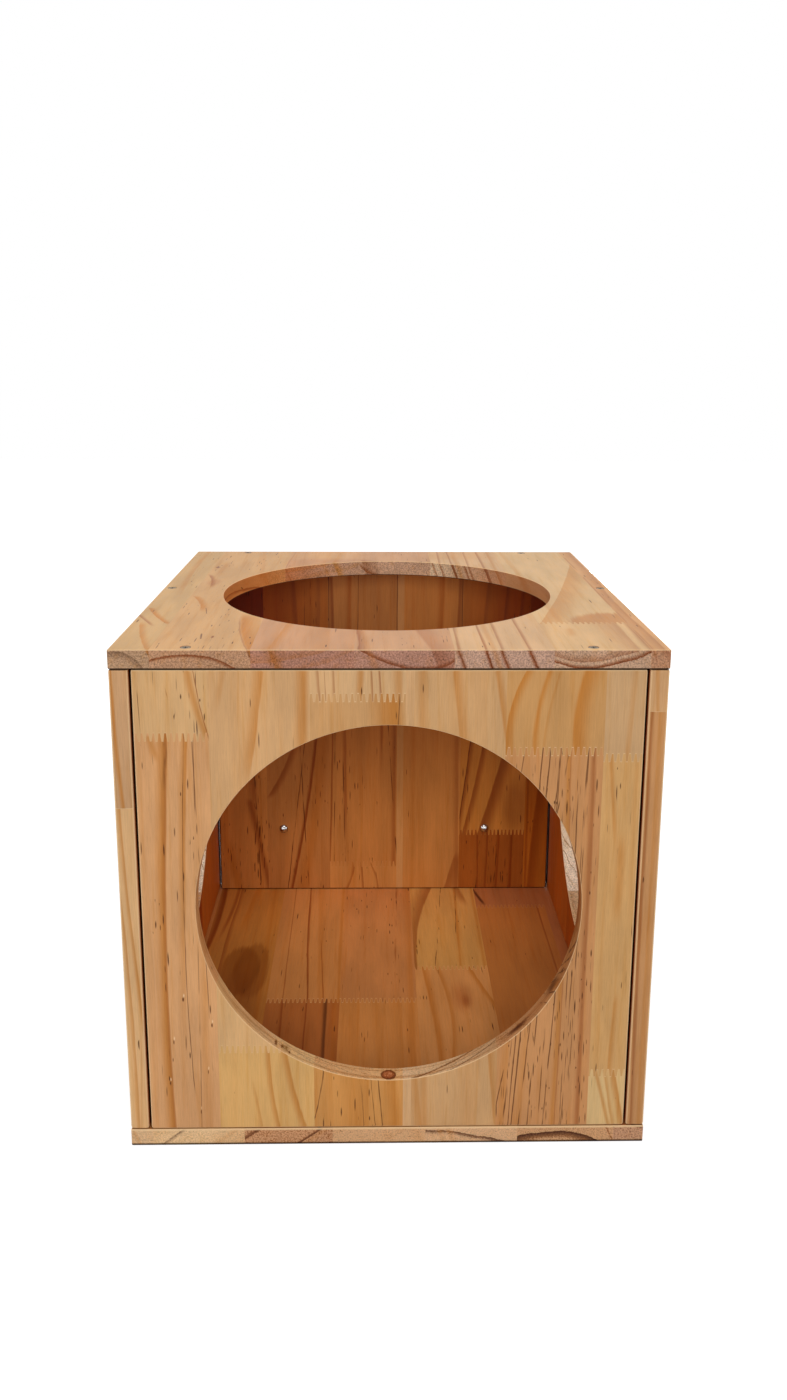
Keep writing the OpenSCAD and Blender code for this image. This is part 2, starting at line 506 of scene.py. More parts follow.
dashCell = {"apart": (2.3, 19.0), "thin": (0.14, 0.09), "long": (0.38, 0.06), "dark": (0.55, 0.42),
            "across": 0.8, "through": 0.6, "fray": 1.2}


def resinDashes(tree, grain, dash):
    # short dark lines along the grain, gathered in drifts
    sideways = times(tree, grain["across"], dashCell["across"])
    sideways = timesPlus(tree, grain["through"], dashCell["through"], sideways)
    sideways = timesPlus(tree, grain["jitter"][2], dashCell["fray"], sideways)
    column, row = dashCell["apart"]
    spread = vectorOf(tree, over(tree, sideways, column), over(tree, grain["stretch"], row), 0.0)
    cell = tree.nodes.new("ShaderNodeTexVoronoi")
    cell.voronoi_dimensions = "2D"
    cell.inputs["Scale"].default_value = 1.0
    plug(tree, cell.inputs["Vector"], spread)
    offset = tree.nodes.new("ShaderNodeVectorMath")
    offset.operation = "SUBTRACT"
    plug(tree, offset.inputs[0], spread)
    plug(tree, offset.inputs[1], cell.outputs["Position"])
    offset = partsOf(tree, offset.outputs[0])
    chance = partsOf(tree, cell.outputs["Color"])
    thin = over(tree, offset[0], timesPlus(tree, chance[2], *dashCell["thin"]))
    long = over(tree, offset[1], timesPlus(tree, chance[1], *dashCell["long"]))
    mark = pineStep(tree, lengthOf(tree, vectorOf(tree, thin, long, 0.0)), "dash")
    drifts = figureStep(tree, grain["slow"], "drifts")
    present = under(tree, chance[0], times(tree, dash, drifts))
    mark = times(tree, mark, present)
    return times(tree, mark, timesPlus(tree, chance[2], *dashCell["dark"]))


def deepen(tree, colour, amount):
    # more coats of lacquer, and on the inside faces painted shade: dark grain grows darker than light grain
    twice = blend(tree, 1.0, colour, colour, "MULTIPLY")
    twice = blend(tree, 1.0, twice, tuple(1 / part for part in pineTones["pale"]), "MULTIPLY")
    return blend(tree, amount, colour, twice)


def tinted(tree, amount, colour, tint):
    return blend(tree, amount, colour, tint, "MULTIPLY")


def onRim(tree, way):
    return under(tree, sizeOf(tree, way), pineFinish["rimReach"])


def paintEnds(tree, board, grain, colour):
    # end grain drinks more lacquer, and shows its cells as specks
    speck = figureStep(tree, grain["place"], "speck")
    dots = figureStep(tree, grain["place"], "dots")
    speck = timesPlus(tree, dots, -pineFinish["dotDepth"], speck)
    ends = tinted(tree, 1.0, colour, board["ends"])
    ends = tinted(tree, 1.0, ends, vectorOf(tree, speck, speck, speck))
    if "endTone" in board:
        # sanded end grain is pale between its dark rings
        level = tree.nodes.new("ShaderNodeRGBToBW")
        plug(tree, level.inputs[0], ends)
        ends = blend(tree, pineStep(tree, level.outputs[0], "sanded"), ends, board["endTone"])
    colour = blend(tree, grain["endOn"], colour, ends)
    if "rimEnds" in board:
        rim = times(tree, grain["endOn"], onRim(tree, grain["along"]))
        colour = tinted(tree, rim, colour, board["rimEnds"])
    return colour


def paintRims(tree, board, grain, colour):
    # rims of the openings that face left or right across the staves, with painted light and shade by the
    # way they face
    facing = grain["facing"]
    if "sides" in board:
        # painted light and shade: the rim takes one tint where it faces one way, another where it faces the
        # other
        for way, tint in zip((1.0, -1.0), board["sides"]):
            sideOn = pineStep(tree, times(tree, facing[board["across"]], way), "sideOn")
            sideOn = times(tree, sideOn, onRim(tree, grain["across"]))
            colour = tinted(tree, sideOn, colour, tint)
    if "rimBands" in board:
        # late wood cut at a slant, on the second of these rims
        slope, spacing, tint = board["rimBands"]
        run = timesPlus(tree, grain["depth"], slope, grain["along"])
        run = timesPlus(tree, grain["patchy"], pineFinish["bandFray"], run)
        bands = pineStep(tree, zigzag(tree, run, spacing / 2), "rimBands")
        colour = tinted(tree, times(tree, bands, sideOn), colour, tint)
    if "rimLines" in board:
        drawnOut = times(tree, grain["along"], pineFinish["layerRun"])
        layers = figureStep(tree, vectorOf(tree, 0.0, grain["depth"], drawnOut), "layers")
        edgeOn = pineStep(tree, sizeOf(tree, facing[board["through"]]), "edgeOn")
        colour = tinted(tree, times(tree, layers, edgeOn), colour, board["rimLines"])
    return colour


def nearPlane(tree, grain, axis, at, reach, high=1.0):
    near = sizeOf(tree, minus(tree, grain["axes"][axis], at))
    return softStep(tree, near, reach, 0.5 * reach, 0.0, high)


def paintEdges(tree, board, grain, inside, colour):
    # painted highlight on rounded edges and rims, and painted shade in the joints between boards
    through = grain["facing"][board["through"]]
    flat = times(tree, through, through)
    edgeHighlight = times(tree, times(tree, flat, 4.0), minus(tree, 1.0, flat))
    edgeHighlight = softStep(tree, edgeHighlight, *pineSteps["edgeHighlight"], 0.0, board.get("edgeHighlight", pineFinish["highlightAmount"]))
    colour = blend(tree, edgeHighlight, colour, pineFinish["highlightTone"])
    onEdge = pineStep(tree, flat, "onEdge")
    # painted highlight on a band under a board's top edge
    for highlightPlane in board.get("lipHighlights", ()):
        highlighted = times(tree, nearPlane(tree, grain, *highlightPlane, pineFinish["lipHighlightAmount"]), onEdge)
        colour = blend(tree, highlighted, colour, pineFinish["highlightTone"])
    # painted shade in the joints between boards and along the bottom edge
    shaded = 0.0
    for shadedPlane in board["seamShade"]:
        shaded = most(tree, shaded, nearPlane(tree, grain, *shadedPlane))
    shaded = times(tree, shaded, onEdge)
    # painted shade on the inner faces within the gaps beside the panels
    if "gapShade" in board:
        reach = sizeOf(tree, grain["across"])
        start, end = board["gapShade"]
        fadeIn, fadeOut = pineFinish["gapShadeEnds"]
        within = times(tree, softStep(tree, reach, start, start + fadeIn),
                       softStep(tree, reach, end, end - fadeOut))
        shaded = most(tree, shaded, times(tree, within, inside))
    colour = blend(tree, times(tree, shaded, pineFinish["seamShadeDepth"]), colour, pineFinish["seamShadeTone"])
    return colour, shaded


def pineMaterial(name, board):
    material, tree, surface = newMaterial(name)
    grain = grainSpace(tree, board)
    inward = times(tree, grain["facing"][board["through"]], board["inward"])
    inside = pineStep(tree, inward, "inside")
    colour, dash, glue = paintLengths(tree, board, grain)
    # end grain takes more lacquer, and the inside faces are deepened as painted shade
    lacquerAndShade = softStep(tree, most(tree, inside, grain["endOn"]), 0.0, 1.0, *pineFinish["depth"])
    colour = deepen(tree, colour, lacquerAndShade)

    # fibre, pores, fine streaks and slow changes of shade along the grain
    fibre = figure(tree, grain["fine"], "fibre")
    pores = figureStep(tree, grain["fine"], "pores")
    band = figureStep(tree, grain["fine"], "band")
    shade = figureStep(tree, grain["slow"], "shade")
    light = plus(tree, pineStep(tree, fibre, "fibre"), shade)
    light = timesPlus(tree, pores, -pineFinish["poreDepth"], light)
    colour = tinted(tree, 1.0, colour, vectorOf(tree, light, light, light))
    colour = tinted(tree, band, colour, pineFinish["bandTone"])

    # resin and glue lines show on side grain
    sideGrain = minus(tree, 1.0, grain["endOn"])
    resin = times(tree, resinDashes(tree, grain, dash), sideGrain)
    colour = blend(tree, resin, colour, pineFinish["dashTone"])
    glue = times(tree, times(tree, glue, sideGrain), pineStep(tree, grain["patchy"], "glue"))
    colour = blend(tree, glue, colour, pineFinish["glueTone"])
    colour = paintEnds(tree, board, grain, colour)
    colour = paintRims(tree, board, grain, colour)

    # painted shade: the inside faces are tinted deeper and redder, and some boards ramp that tint along the
    # grain as painted light and shade
    coat = board["coat"]
    if "shadingAlong" in board:
        start, end, shadingEnd = board["shadingAlong"]
        coat = blend(tree, softStep(tree, grain["along"], start, end), coat, shadingEnd)
    colour = tinted(tree, inside, colour, coat)
    colour, shaded = paintEdges(tree, board, grain, inside, colour)

    plug(tree, surface.inputs["Base Color"], colour)
    worn = pineStep(tree, fibre, "roughness")
    plug(tree, surface.inputs["Roughness"], blendNumber(tree, shaded, worn, 1.0))
    surface.inputs["Specular IOR Level"].default_value = pineFinish["sheen"]
    relief = tree.nodes.new("ShaderNodeBump")
    for socket, value in zip(("Strength", "Distance"), pineFinish["relief"]):
        relief.inputs[socket].default_value = value
    plug(tree, relief.inputs["Height"], minus(tree, fibre, resin))
    plug(tree, surface.inputs["Normal"], relief.outputs[0])
    return material


# Boards

boardShape = {
    "plateEdge": 1.0 * mm,
    "panelEdge": 2.4 * mm,
    "edgeSteps": 4,
    "rim": 0.8 * mm,
    "rimSteps": 3,
    "openingSides": 256,
    "openingRadius": 151.0 * mm,
    "cutterDepth": 60 * mm,
    "faceSlack": 0.01 * mm,
    "rimSlack": 0.05 * mm,
}


def makeBoard(name, node, edge):
    low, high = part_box(node)
    deselectAll()
    bpy.ops.mesh.primitive_cube_add(size=1, location=(low + high) / 2)
    board = bpy.context.object
    board.name = name
    board.data.name = name
    board.scale = high - low
    fixPlace(board)
    bpy.ops.object.mode_set(mode="EDIT")
    bpy.ops.mesh.select_all(action="SELECT")
    bpy.ops.mesh.bevel(offset=edge, segments=boardShape["edgeSteps"], affect="EDGES")
    bpy.ops.object.mode_set(mode="OBJECT")
    return board


def cutOpening(board, axis):
    # round opening through the middle of the board, its rims eased
    radius = boardShape["openingRadius"]
    corners = [Vector(corner) for corner in board.bound_box]
    middle = sum(corners, Vector()) / 8
    turn = {0: (0, math.pi / 2, 0), 1: (math.pi / 2, 0, 0), 2: (0, 0, 0)}[axis]
    deselectAll()
    bpy.ops.mesh.primitive_cylinder_add(vertices=boardShape["openingSides"], radius=radius,
                                        depth=boardShape["cutterDepth"], location=middle, rotation=turn)
    fixPlace(bpy.context.object)
    cutAway(board, bpy.context.object)
    low = min(corner[axis] for corner in corners)
    high = max(corner[axis] for corner in corners)

    def atRim(corner):
        point = board.data.vertices[corner].co
        flat = point - middle
        flat[axis] = 0
        onFace = min(abs(point[axis] - low), abs(point[axis] - high)) < boardShape["faceSlack"]
        return onFace and abs(flat.length - radius) < boardShape["rimSlack"]

    pickParts(board, "EDGE", lambda edge: all(atRim(corner) for corner in edge.vertices))
    bpy.ops.mesh.bevel(offset=boardShape["rim"], segments=boardShape["rimSteps"], affect="EDGES")
    bpy.ops.object.mode_set(mode="OBJECT")


screwSeat = {"radius": 4.3 * mm, "shank": 2.3 * mm, "recess": 0.3 * mm, "cone": 2.0 * mm, "sides": 48,
             "above": 3 * mm, "below": 20 * mm}


def screwPlaces(node):
    # both screws of a pair, from the box round them
    low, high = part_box(node)
    head = min(high.x - low.x, high.y - low.y) / 2
    middle = (low.y + high.y) / 2
    return [(low.x + head, middle), (high.x - head, middle)]


def sinkScrews(board, side, upward):
    corners = [Vector(corner) for corner in board.bound_box]
    outer = max(c.z for c in corners) if upward else min(c.z for c in corners)
    way = 1 if upward else -1
    for group in ("front", "side", "back"):
        for x, y in screwPlaces(side + "_" + group + "_screws"):
            deselectAll()
            top = outer - way * (screwSeat["recess"] + screwSeat["cone"] / 2)
            bpy.ops.mesh.primitive_cone_add(
                vertices=screwSeat["sides"], radius1=screwSeat["shank"], radius2=screwSeat["radius"],
                depth=screwSeat["cone"], location=(x, y, top), rotation=(0 if upward else math.pi, 0, 0))
            seat = bpy.context.object
            fixPlace(seat)
            for facing, reach in ((way, screwSeat["above"]), (-way, screwSeat["below"])):
                pickParts(seat, "FACE", lambda face: face.normal.z * facing > 0.9)
                bpy.ops.mesh.extrude_region_move(
                    TRANSFORM_OT_translate={"value": (0, 0, facing * reach)})
                bpy.ops.object.mode_set(mode="OBJECT")
            cutAway(board, seat)


# radius and depth of each step
insertSeat = {"steps": ((3.1 * mm, 17 * mm), (4.55 * mm, 10 * mm), (6.55 * mm, 1.5 * mm)), "sides": 48,
              "outside": 1 * mm}


def sinkInserts(board):
    # stepped holes for the link bolts and their inserts, each step measured in from the outer face
    low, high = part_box("link_inserts")
    radius = (high.z - low.z) / 2
    height = (low.z + high.z) / 2
    for x in (low.x + radius, high.x - radius):
        for wide, shadingEnd in insertSeat["steps"]:
            deselectAll()
            outside = insertSeat["outside"]
            bpy.ops.mesh.primitive_cylinder_add(
                vertices=insertSeat["sides"], radius=wide, depth=shadingEnd + outside,
                location=(x, high.y + (outside - shadingEnd) / 2, height), rotation=(math.pi / 2, 0, 0))
            fixPlace(bpy.context.object)
            cutAway(board, bpy.context.object)


def finishBoard(board, node, layout):
    settleNormals(board)
    board.data.materials.clear()
    board.data.materials.append(pineMaterial(board.name + "Pine", layout))
    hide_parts(node)
    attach(board, "root")
    print("board made:", board.name, len(board.data.polygons), "faces")


def endSeamShade(node, reaches):
    # painted shade in the joint lines at both ends of a node, each axis with its own reach
    low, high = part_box(node)
    return [(axis, end[axis] / mm, reach) for axis, reach in reaches.items() for end in (low, high)]


# Front panel, grain upright, staves read from the left

# what the rim of the opening cuts through, painted shade on its right part, and flecks on the face
rimCracks = [
    knot((-84, -203, 85), (5.0, 7, 9), 0.1, 0.8, (0.34, 0.15, 0.035)),
    knot((-92, -204, 91), (1.6, 7, 9), 0.3, tone=(0.24, 0.085, 0.018)),
    knot((-88, -200, 88), (2.4, 2, 9), 0.3, tone=(0.62, 0.34, 0.10)),
    knot((-87, -204, 87), (1.4, 4, 9), 0.3, tone=(0.26, 0.095, 0.020)),
    knot((-81, -206, 83), (1.5, 3, 9), 0.3, tone=(0.28, 0.105, 0.022)),
]
rimKnot = [
    knot((0.5, -203.5, 57.0), (6.6, 6.6, 16.0), 1.0, tone=(0.22, 0.07, 0.018)),
    knot((0.5, -203.5, 57.0), (6.2, 6.2, 16.0), 0.6, tone=(0.50, 0.18, 0.055)),
]
# soft dark patches on the right part of the rim: painted shade
rimShadePatches = [
    knot((132, -200, 137), (13, 7, 15), 0.2, 0.8, (0.16, 0.055, 0.016)),
    knot((105, -203, 101), (21, 4.6, 15), 0.2, 0.85, (0.18, 0.062, 0.018)),
]
fleckLook = {"pale": (0.78, 0.53, 0.30), "dark": (0.16, 0.05, 0.015), "behind": (0.5, 3.4)}
frontFlecks = []
for across, height in ((-162.4, 136), (-140.4, 113), (-144.4, 71), (-151, 34.5), (-175.6, 61), (-171, 98)):
    behind, below = fleckLook["behind"]
    frontFlecks += [
        knot((across, -210, height), (0.65, 6, 2.4), 0.3, tone=fleckLook["pale"]),
        knot((across - behind, -210, height - below), (0.8, 6, 2.6), 0.4, tone=fleckLook["dark"]),
    ]

frontLayout = {
    "across": 0, "through": 1, "along": 2, "face": -210.0, "middle": 210.0, "to": 193.4,
    "ends": (1.17, 1.22, 1.40), "endTone": (0.65, 0.42, 0.23),
    # the rim tints for each way it faces are painted shade, deeper on the right part of the rim; the inside
    # tint is painted shade, and the joint lines get painted shade
    "sides": ((0.97, 0.90, 0.81), (0.77, 0.67, 0.57)), "rimLines": (0.80, 0.69, 0.58), "inward": 1.0,
    "coat": (1.0, 0.80, 0.55), "seamShade": endSeamShade("front_panel", {0: 0.4, 2: 1.2}),
    "staves": [
        stave(-193.4, timber("pink", 0.13, (1.11, 1.16, 1.04), [(-20, 6, 0.12), (20, 6, 0.18)],
                marks=frontFlecks, streaks=[
            amber((-168.5, 352), (-174, 15), (9, 2.4), 0.85, bend=-4),
            rust((-168, 352), (-173, 15), (3.5, 1.2), 0.35, bend=-4),
            canal((-168, 350), (-171, 306), (3, 1.6), 0.75, fade=(0.1, 0.5)),
            amber((-153, 352), (-162, 15), (6, 1.5), 0.75, bend=-3, fade=(0, 0.9)),
            amber((-181, 354), (-175, 330), (5, 4), 0.55, fade=(0.1, 0.4)),
            canal((-156, 330), (-160, 190), (0.5, 0.5), 0.7, bend=-1),
            amber((-146, 200), (-144, 15), (6, 3), 0.25, fade=(0.4, 0)),
            canal((-150, 150), (-151, 30), (0.5, 0.5), 0.7),
            canal((-144, 160), (-142, 90), (0.5, 0.5), 0.7),
        ]), timber("pale", 0.16, (1.05, 1.09, 1.07), [(-20, 6, 0.12)], start=352, glue=0.55, streaks=[
            amber((-151, 408), (-137, 350), (5, 4), 0.62, bend=-2),
            rust((-147, 408), (-138, 358), (0.8, 0.5), 0.7, bend=-1),
            rust((-171, 405), (-161, 356), (0.6, 0.5), 0.6, bend=1, broken=True),
            canal((-188, 402), (-187, 360), (0.5, 0.5), 0.75),
        ])),
        stave(-136.7, timber("straw", 0.02, (1.08, 1.16, 1.15), [(-22, 8, 0.10)], slant=3.5,
                marks=rimCracks, streaks=[
            ringEnd("sap", (-60, 100), (-60, 15), (160, 160), 0.22),
            ringEnd("brown", (-40, 100), (-40, 15), (9, 3), 0.25),
            ringEnd("brown", (-66, 100), (-66, 15), (4, 2), 0.28),
            amber((-97, 92), (-89, 15), (5, 1), 0.65, bend=-2.2),
            amber((-84, 92), (-67, 15), (7, 1.5), 0.70, bend=-2),
            amber((-111, 66), (-103, 15), (3, 1), 0.40, fade=(0.5, 0)),
        ]), timber("pale", 0.04, (1.03, 1.04, 1.02), [(-14, 8, 0.10)], start=88, glue=0.5, slant=3.0,
                marks=rimCracks, streaks=[
            ringEnd("brown", (-88, 130), (-88, 80), (3, 2), 0.45),
            ringEnd("brown", (-98, 130), (-98, 80), (2, 2), 0.35),
            amber((-95, 408), (-110, 300), (11, 1.2), 0.60, bend=1, fade=(0, 0.4)),
            amber((-123, 408), (-131, 366), (5, 3), 0.30, fade=(0, 0.6)),
            amber((-65, 408), (-66, 330), (9, 5), 0.62),
            amber((-133, 250), (-132, 90), (3, 5), 0.22, fade=(0.3, 0.3)),
            sap((-110, 230), (-110, 80), (90, 90), 0.35, fade=(0.7, 0)),
        ])),
        stave(-60.3, timber("tan", 0.10, (1.09, 1.06, 0.81), [(-22, 8, 0.2), (8, 16, 0.35), (30, 14, 0.5)],
                slant=3.5, marks=rimKnot, streaks=[
            ringEnd("sap", (-60, 100), (-60, 15), (160, 160), 0.22),
            ringEnd("brown", (-40, 100), (-40, 15), (9, 3), 0.25),
            ringEnd("brown", (-12, 100), (-12, 15), (4, 2), 0.30),
            amber((-30, 80), (-26, 15), (20, 20), 0.35),
            canal((-53, 76), (-57, 38), (0.7, 0.6), 0.85, bend=1),
            canal((-23, 66), (-21, 36), (0.5, 0.5), 0.8),
            canal((-15, 68), (-10, 18), (0.6, 0.5), 0.85),
            brown((-8, 58), (-4, 15), (0.7, 0.6), 0.9),
            amber((4, 64), (7, 15), (7, 4), 0.55),
        ]), timber("pale", 0.06, (0.98, 0.95, 0.86), start=200, glue=0.3, streaks=[
            amber((4, 390), (6, 345), (26, 8), 0.85),
            brown((8, 384), (7, 366), (0.7, 0.6), 0.7),
        ]), timber("pale", 0.05, (1.05, 1.10, 1.13), start=383, glue=0.85, streaks=[
            rust((-53.5, 405), (-52, 378), (2.5, 0.6), 0.45),
            rust((-49, 405), (-48, 378), (0.6, 0.6), 0.45),
            rust((-42, 405), (-41, 378), (2.5, 0.6), 0.45),
            amber((-22, 405), (-23, 378), (5, 3), 0.62),
            rust((-14, 405), (-13, 378), (1.4, 0.6), 0.5),
            rust((-8, 405), (-6, 378), (2.0, 0.7), 0.6),
            amber((7, 405), (8, 378), (7, 4), 0.5),
        ])),
        stave(11.7, timber("cream", 0.0, (0.96, 0.92, 0.83))),
        stave(18.3, timber("pale", 0.02, (0.98, 0.99, 0.96), [(20, 18, 0.12)], slant=-3.5, streaks=[
            ringEnd("brown", (20, 100), (20, 15), (9, 4), 0.62),
            ringEnd("brown", (33, 100), (33, 15), (3, 2), 0.40),
            ringEnd("brown", (50, 408), (50, 340), (6, 2), 0.50),
            amber((24, 408), (25, 335), (6, 5), 0.40),
            amber((47, 408), (54, 340), (1.2, 10), 0.50),
            amber((79, 408), (89, 345), (2, 6), 0.60),
            amber((22, 62), (27, 15), (9, 2), 0.42),
            amber((64, 60), (66, 15), (12, 8), 0.12),
        ])),
        stave(87.7, timber("pink", 0.55, (0.98, 0.95, 0.77), [(-20, 6, 0.12)], marks=rimShadePatches, streaks=[
            amber((136, 345), (134, 15), (4, 3), 0.60, bend=2),
            rust((137.5, 345), (136, 15), (1.2, 0.8), 0.35, bend=2),
            rust((156, 345), (155, 15), (5, 2.5), 0.62),
            amber((97, 120), (92, 15), (6, 3), 0.40, fade=(0.4, 0)),
            amber((112, 130), (106, 15), (5, 3), 0.30, fade=(0.4, 0)),
            brown((106, 104), (100, 15), (1.0, 0.7), 0.92),
            canal((118, 110), (113, 15), (0.9, 0.6), 0.92),
            canal((97, 70), (93, 15), (0.9, 0.6), 0.92),
            canal((142, 150), (140, 15), (0.9, 0.6), 0.92),
            canal((92, 62), (88.5, 40), (0.8, 0.6), 0.9),
            canal((126, 120), (122, 15), (0.7, 0.6), 0.9),
            canal((132, 126), (126, 15), (0.8, 0.6), 0.92),
            canal((149, 200), (146, 20), (0.6, 0.5), 0.85),
            canal((151, 345), (148, 240), (0.7, 0.5), 0.85),
            canal((130, 345), (126, 290), (0.7, 0.5), 0.85),
            brown((116, 345), (114, 310), (0.7, 0.5), 0.9),
            canal((103, 345), (100, 320), (0.7, 0.5), 0.8),
        ]), timber("straw", 0.02, (0.92, 0.92, 0.91), start=340, glue=0.8, streaks=[
            amber((105, 408), (88.5, 338), (1.0, 8), 0.85, bend=-6),
            amber((121, 408), (109, 338), (2.4, 4), 0.75, bend=-3.5),
            amber((129, 408), (116, 345), (1, 3), 0.35, bend=-2),
            amber((149, 408), (141, 338), (3, 15), 0.85, bend=-4),
        ])),
        stave(162.7, timber("pale", 0.03, (1.10, 1.23, 1.20), streaks=[
            amber((168, 66), (181, 15), (2.5, 3), 0.55),
            amber((175, 66), (184, 15), (1.5, 4), 0.50),
            amber((183, 66), (193, 15), (7, 1.6), 0.70),
        ]), timber("straw", 0.08, (1.00, 1.05, 1.09), [(-8, 6, 0.12)], start=64, glue=0.75, streaks=[
            amber((168, 340), (176, 250), (2, 3), 0.50, fade=(0, 0.4)),
            amber((181, 280), (180, 190), (8, 4), 0.45, fade=(0.3, 0.3)),
            amber((181, 140), (178, 60), (1.5, 5), 0.55, fade=(0.2, 0)),
            amber((189, 340), (190, 180), (4, 2), 0.25, fade=(0, 0.5)),
        ]), timber("pale", 0.02, (0.93, 0.97, 0.99), start=335, glue=0.6, streaks=[
            amber((185, 408), (181, 330), (5, 2), 0.28),
        ])),
    ],
}

frontPanel = makeBoard("frontPanel", "front_panel", boardShape["panelEdge"])
cutOpening(frontPanel, 1)
finishBoard(frontPanel, "front_panel", frontLayout)

# Top board, grain front to back; its front edge shows the rings end on
topLayout = {
    "across": 0, "through": 2, "along": 1, "face": 420.0, "middle": 0.0, "to": 210.0,
    # the rim tints for each way it faces are painted shade, the inside tint is painted shade, and the lower
    # edge of the board gets painted shade
    "ends": (0.88, 0.85, 1.12), "sides": ((1.0, 0.59, 0.34), (0.79, 0.54, 0.45)),
    "rimEnds": (1.17, 1.37, 1.23), "inward": -1.0, "coat": (1.0, 0.80, 0.55), "seamShade": [(2, 405.0, 1.0)],
    "staves": [
        stave(-210, timber("pale", 0.05, (0.930, 0.971, 0.925), [(-4, 5, 0.35)], late="brown",
                pith=(-13, -32), lean=(0.0, -0.02), at=-210, streaks=[
            amber((-208, -70), (-180, -132), (1, 7), 0.85, bend=-2, fade=(0.1, 0.1)),
            rust((-212, -96), (-190, -140), (1, 4), 0.6, fade=(0.1, 0.3)),
            amber((-196, 210), (-188, -40), (7, 2), 0.40, bend=-3, fade=(0, 0.3)),
            amber((-204, -120), (-182, -206), (1, 7), 0.65, bend=-2, fade=(0.2, 0)),
        ])),
        stave(-179, timber("pale", 0.14, (0.945, 0.936, 0.878), [(-5.5, 2.5, 0.85)], late="rust",
                pith=(-11.5, -88.5), lean=(0.0, -0.012), at=-210, streaks=[
            amber((-122, -90), (-104, -212), (3, 16), 0.85, bend=-3, fade=(0.2, 0)),
            rust((-124, -100), (-106, -212), (0.8, 1.5), 0.40, bend=-3, fade=(0.3, 0)),
            amber((-168, 150), (-170, 60), (3, 8), 0.28, fade=(0.3, 0.3)),
            brown((-158, -70), (-153, -96), (0.8, 0.6), 0.7, fade=(0.2, 0.2)),
            amber((-135, 210), (-128, 130), (8, 2), 0.25),
            brown((-147, -160), (-145, -180), (1.0, 0.7), 0.8, fade=(0.2, 0.2)),
            brown((-120, 205), (-121, 185), (0.9, 0.7), 0.8, fade=(0.2, 0.2)),
            rust((-179, 80), (-168, 10), (1, 5), 0.65, bend=3, fade=(0.2, 0.3)),
            amber((-179, -20), (-160, -90), (1, 8), 0.8, bend=4, fade=(0.2, 0.3)),
        ], marks=[
            knot((-174, 420, 114), (3.4, 9, 7), 0.3, 0.8),
            knot((-167, 420, 38), (9, 9, 20), 0.5, 0.30, (0.43, 0.17, 0.06)),
            knot((-137, 420, -172), (1.4, 9, 5), 0.4, 0.8),
        ])),
        stave(-104, timber("pink", 0.04, (0.940, 0.961, 0.941),
                [(-22, 6, 0.25), (-14, 8, 0.3), (6, 8, 0.3), (16, 5, 0.2)], pith=(-30, 130),
                lean=(0.02, 0.01), at=-210, streaks=[
            amber((-82, -130), (-90, -212), (2, 8), 0.60),
            rust((-100, 210), (-106, 90), (0.7, 1.5), 0.35),
            amber((-60, 210), (-66, 130), (5, 2), 0.22),
            sap((-66, 212), (-66, 150), (90, 90), 0.30, fade=(0, 0.4)),
        ])),
        stave(-27, timber("pink", 0.20, (0.960, 1.012, 1.003), [(14, 3, 0.8)], late="rust", pith=(11.5, 70),
                lean=(0.0, -0.02), at=-210, streaks=[
            rust((-27, 165), (-20, 120), (3, 22), 0.40, fade=(0.3, 0)),
            amber((-22, -150), (-16, -212), (5, 4), 0.30),
        ])),
        stave(48, timber("pale", 0.02, (0.99, 1.04, 1.11), streaks=[
            rust((58, 212), (50, -212), (0.8, 3.0), 0.55),
            rust((69, 212), (71, -212), (0.9, 2.2), 0.68),
            amber((75, 212), (77, -212), (4, 4), 0.35),
            ringEnd("rust", (50, -200), (50, -212), (3, 1), 0.55),
            ringEnd("rust", (71, -200), (71, -212), (3, 1), 0.75),
            ringEnd("rust", (83, -200), (83, -212), (3, 1), 0.65),
            ringEnd("rust", (104, -200), (104, -212), (3, 1), 0.75),
            rust((87, 212), (83, -212), (0.8, 3.0), 0.52),
            rust((101, 212), (104, -212), (0.9, 3.0), 0.62),
            amber((113, 212), (112, -40), (1.0, 4), 0.50, fade=(0, 0.4)),
            amber((85, 212), (85, 150), (90, 90), 0.22, fade=(0, 0.4)),
        ])),
        stave(122.5, timber("straw", 0.02, (1.02, 1.15, 1.41), [(8, 6, 0.40), (13, 3, 0.9)], late="rust",
                pith=(-9, 71), streaks=[
            amber((146, -140), (143, -175), (6, 6), 0.35, fade=(0.3, 0.4)),
        ]), timber("pale", 0.02, (1.0, 1.085, 1.12), start=-127, glue=0.6, streaks=[
            amber((124, -130), (182, 74), (0.8, 30), 0.50, bend=2),
            amber((128, 212), (134, 60), (3, 6), 0.28),
        ], marks=[
            knot((184, 420, -132), (40, 14, 46), 0.9, 0.62, (0.46, 0.18, 0.045)),
        ])),
        stave(195, timber("pink", 0.05, (1.040, 1.104, 0.972), [(4, 6, 0.4)], late="rust", pith=(-30, -40),
                streaks=[
            rust((197, 212), (196, -212), (1, 2), 0.35, broken=True),
        ])),
    ],
}

topBoard = makeBoard("topBoard", "top_board", boardShape["plateEdge"])
cutOpening(topBoard, 2)
sinkScrews(topBoard, "top", True)
finishBoard(topBoard, "top_board", topLayout)

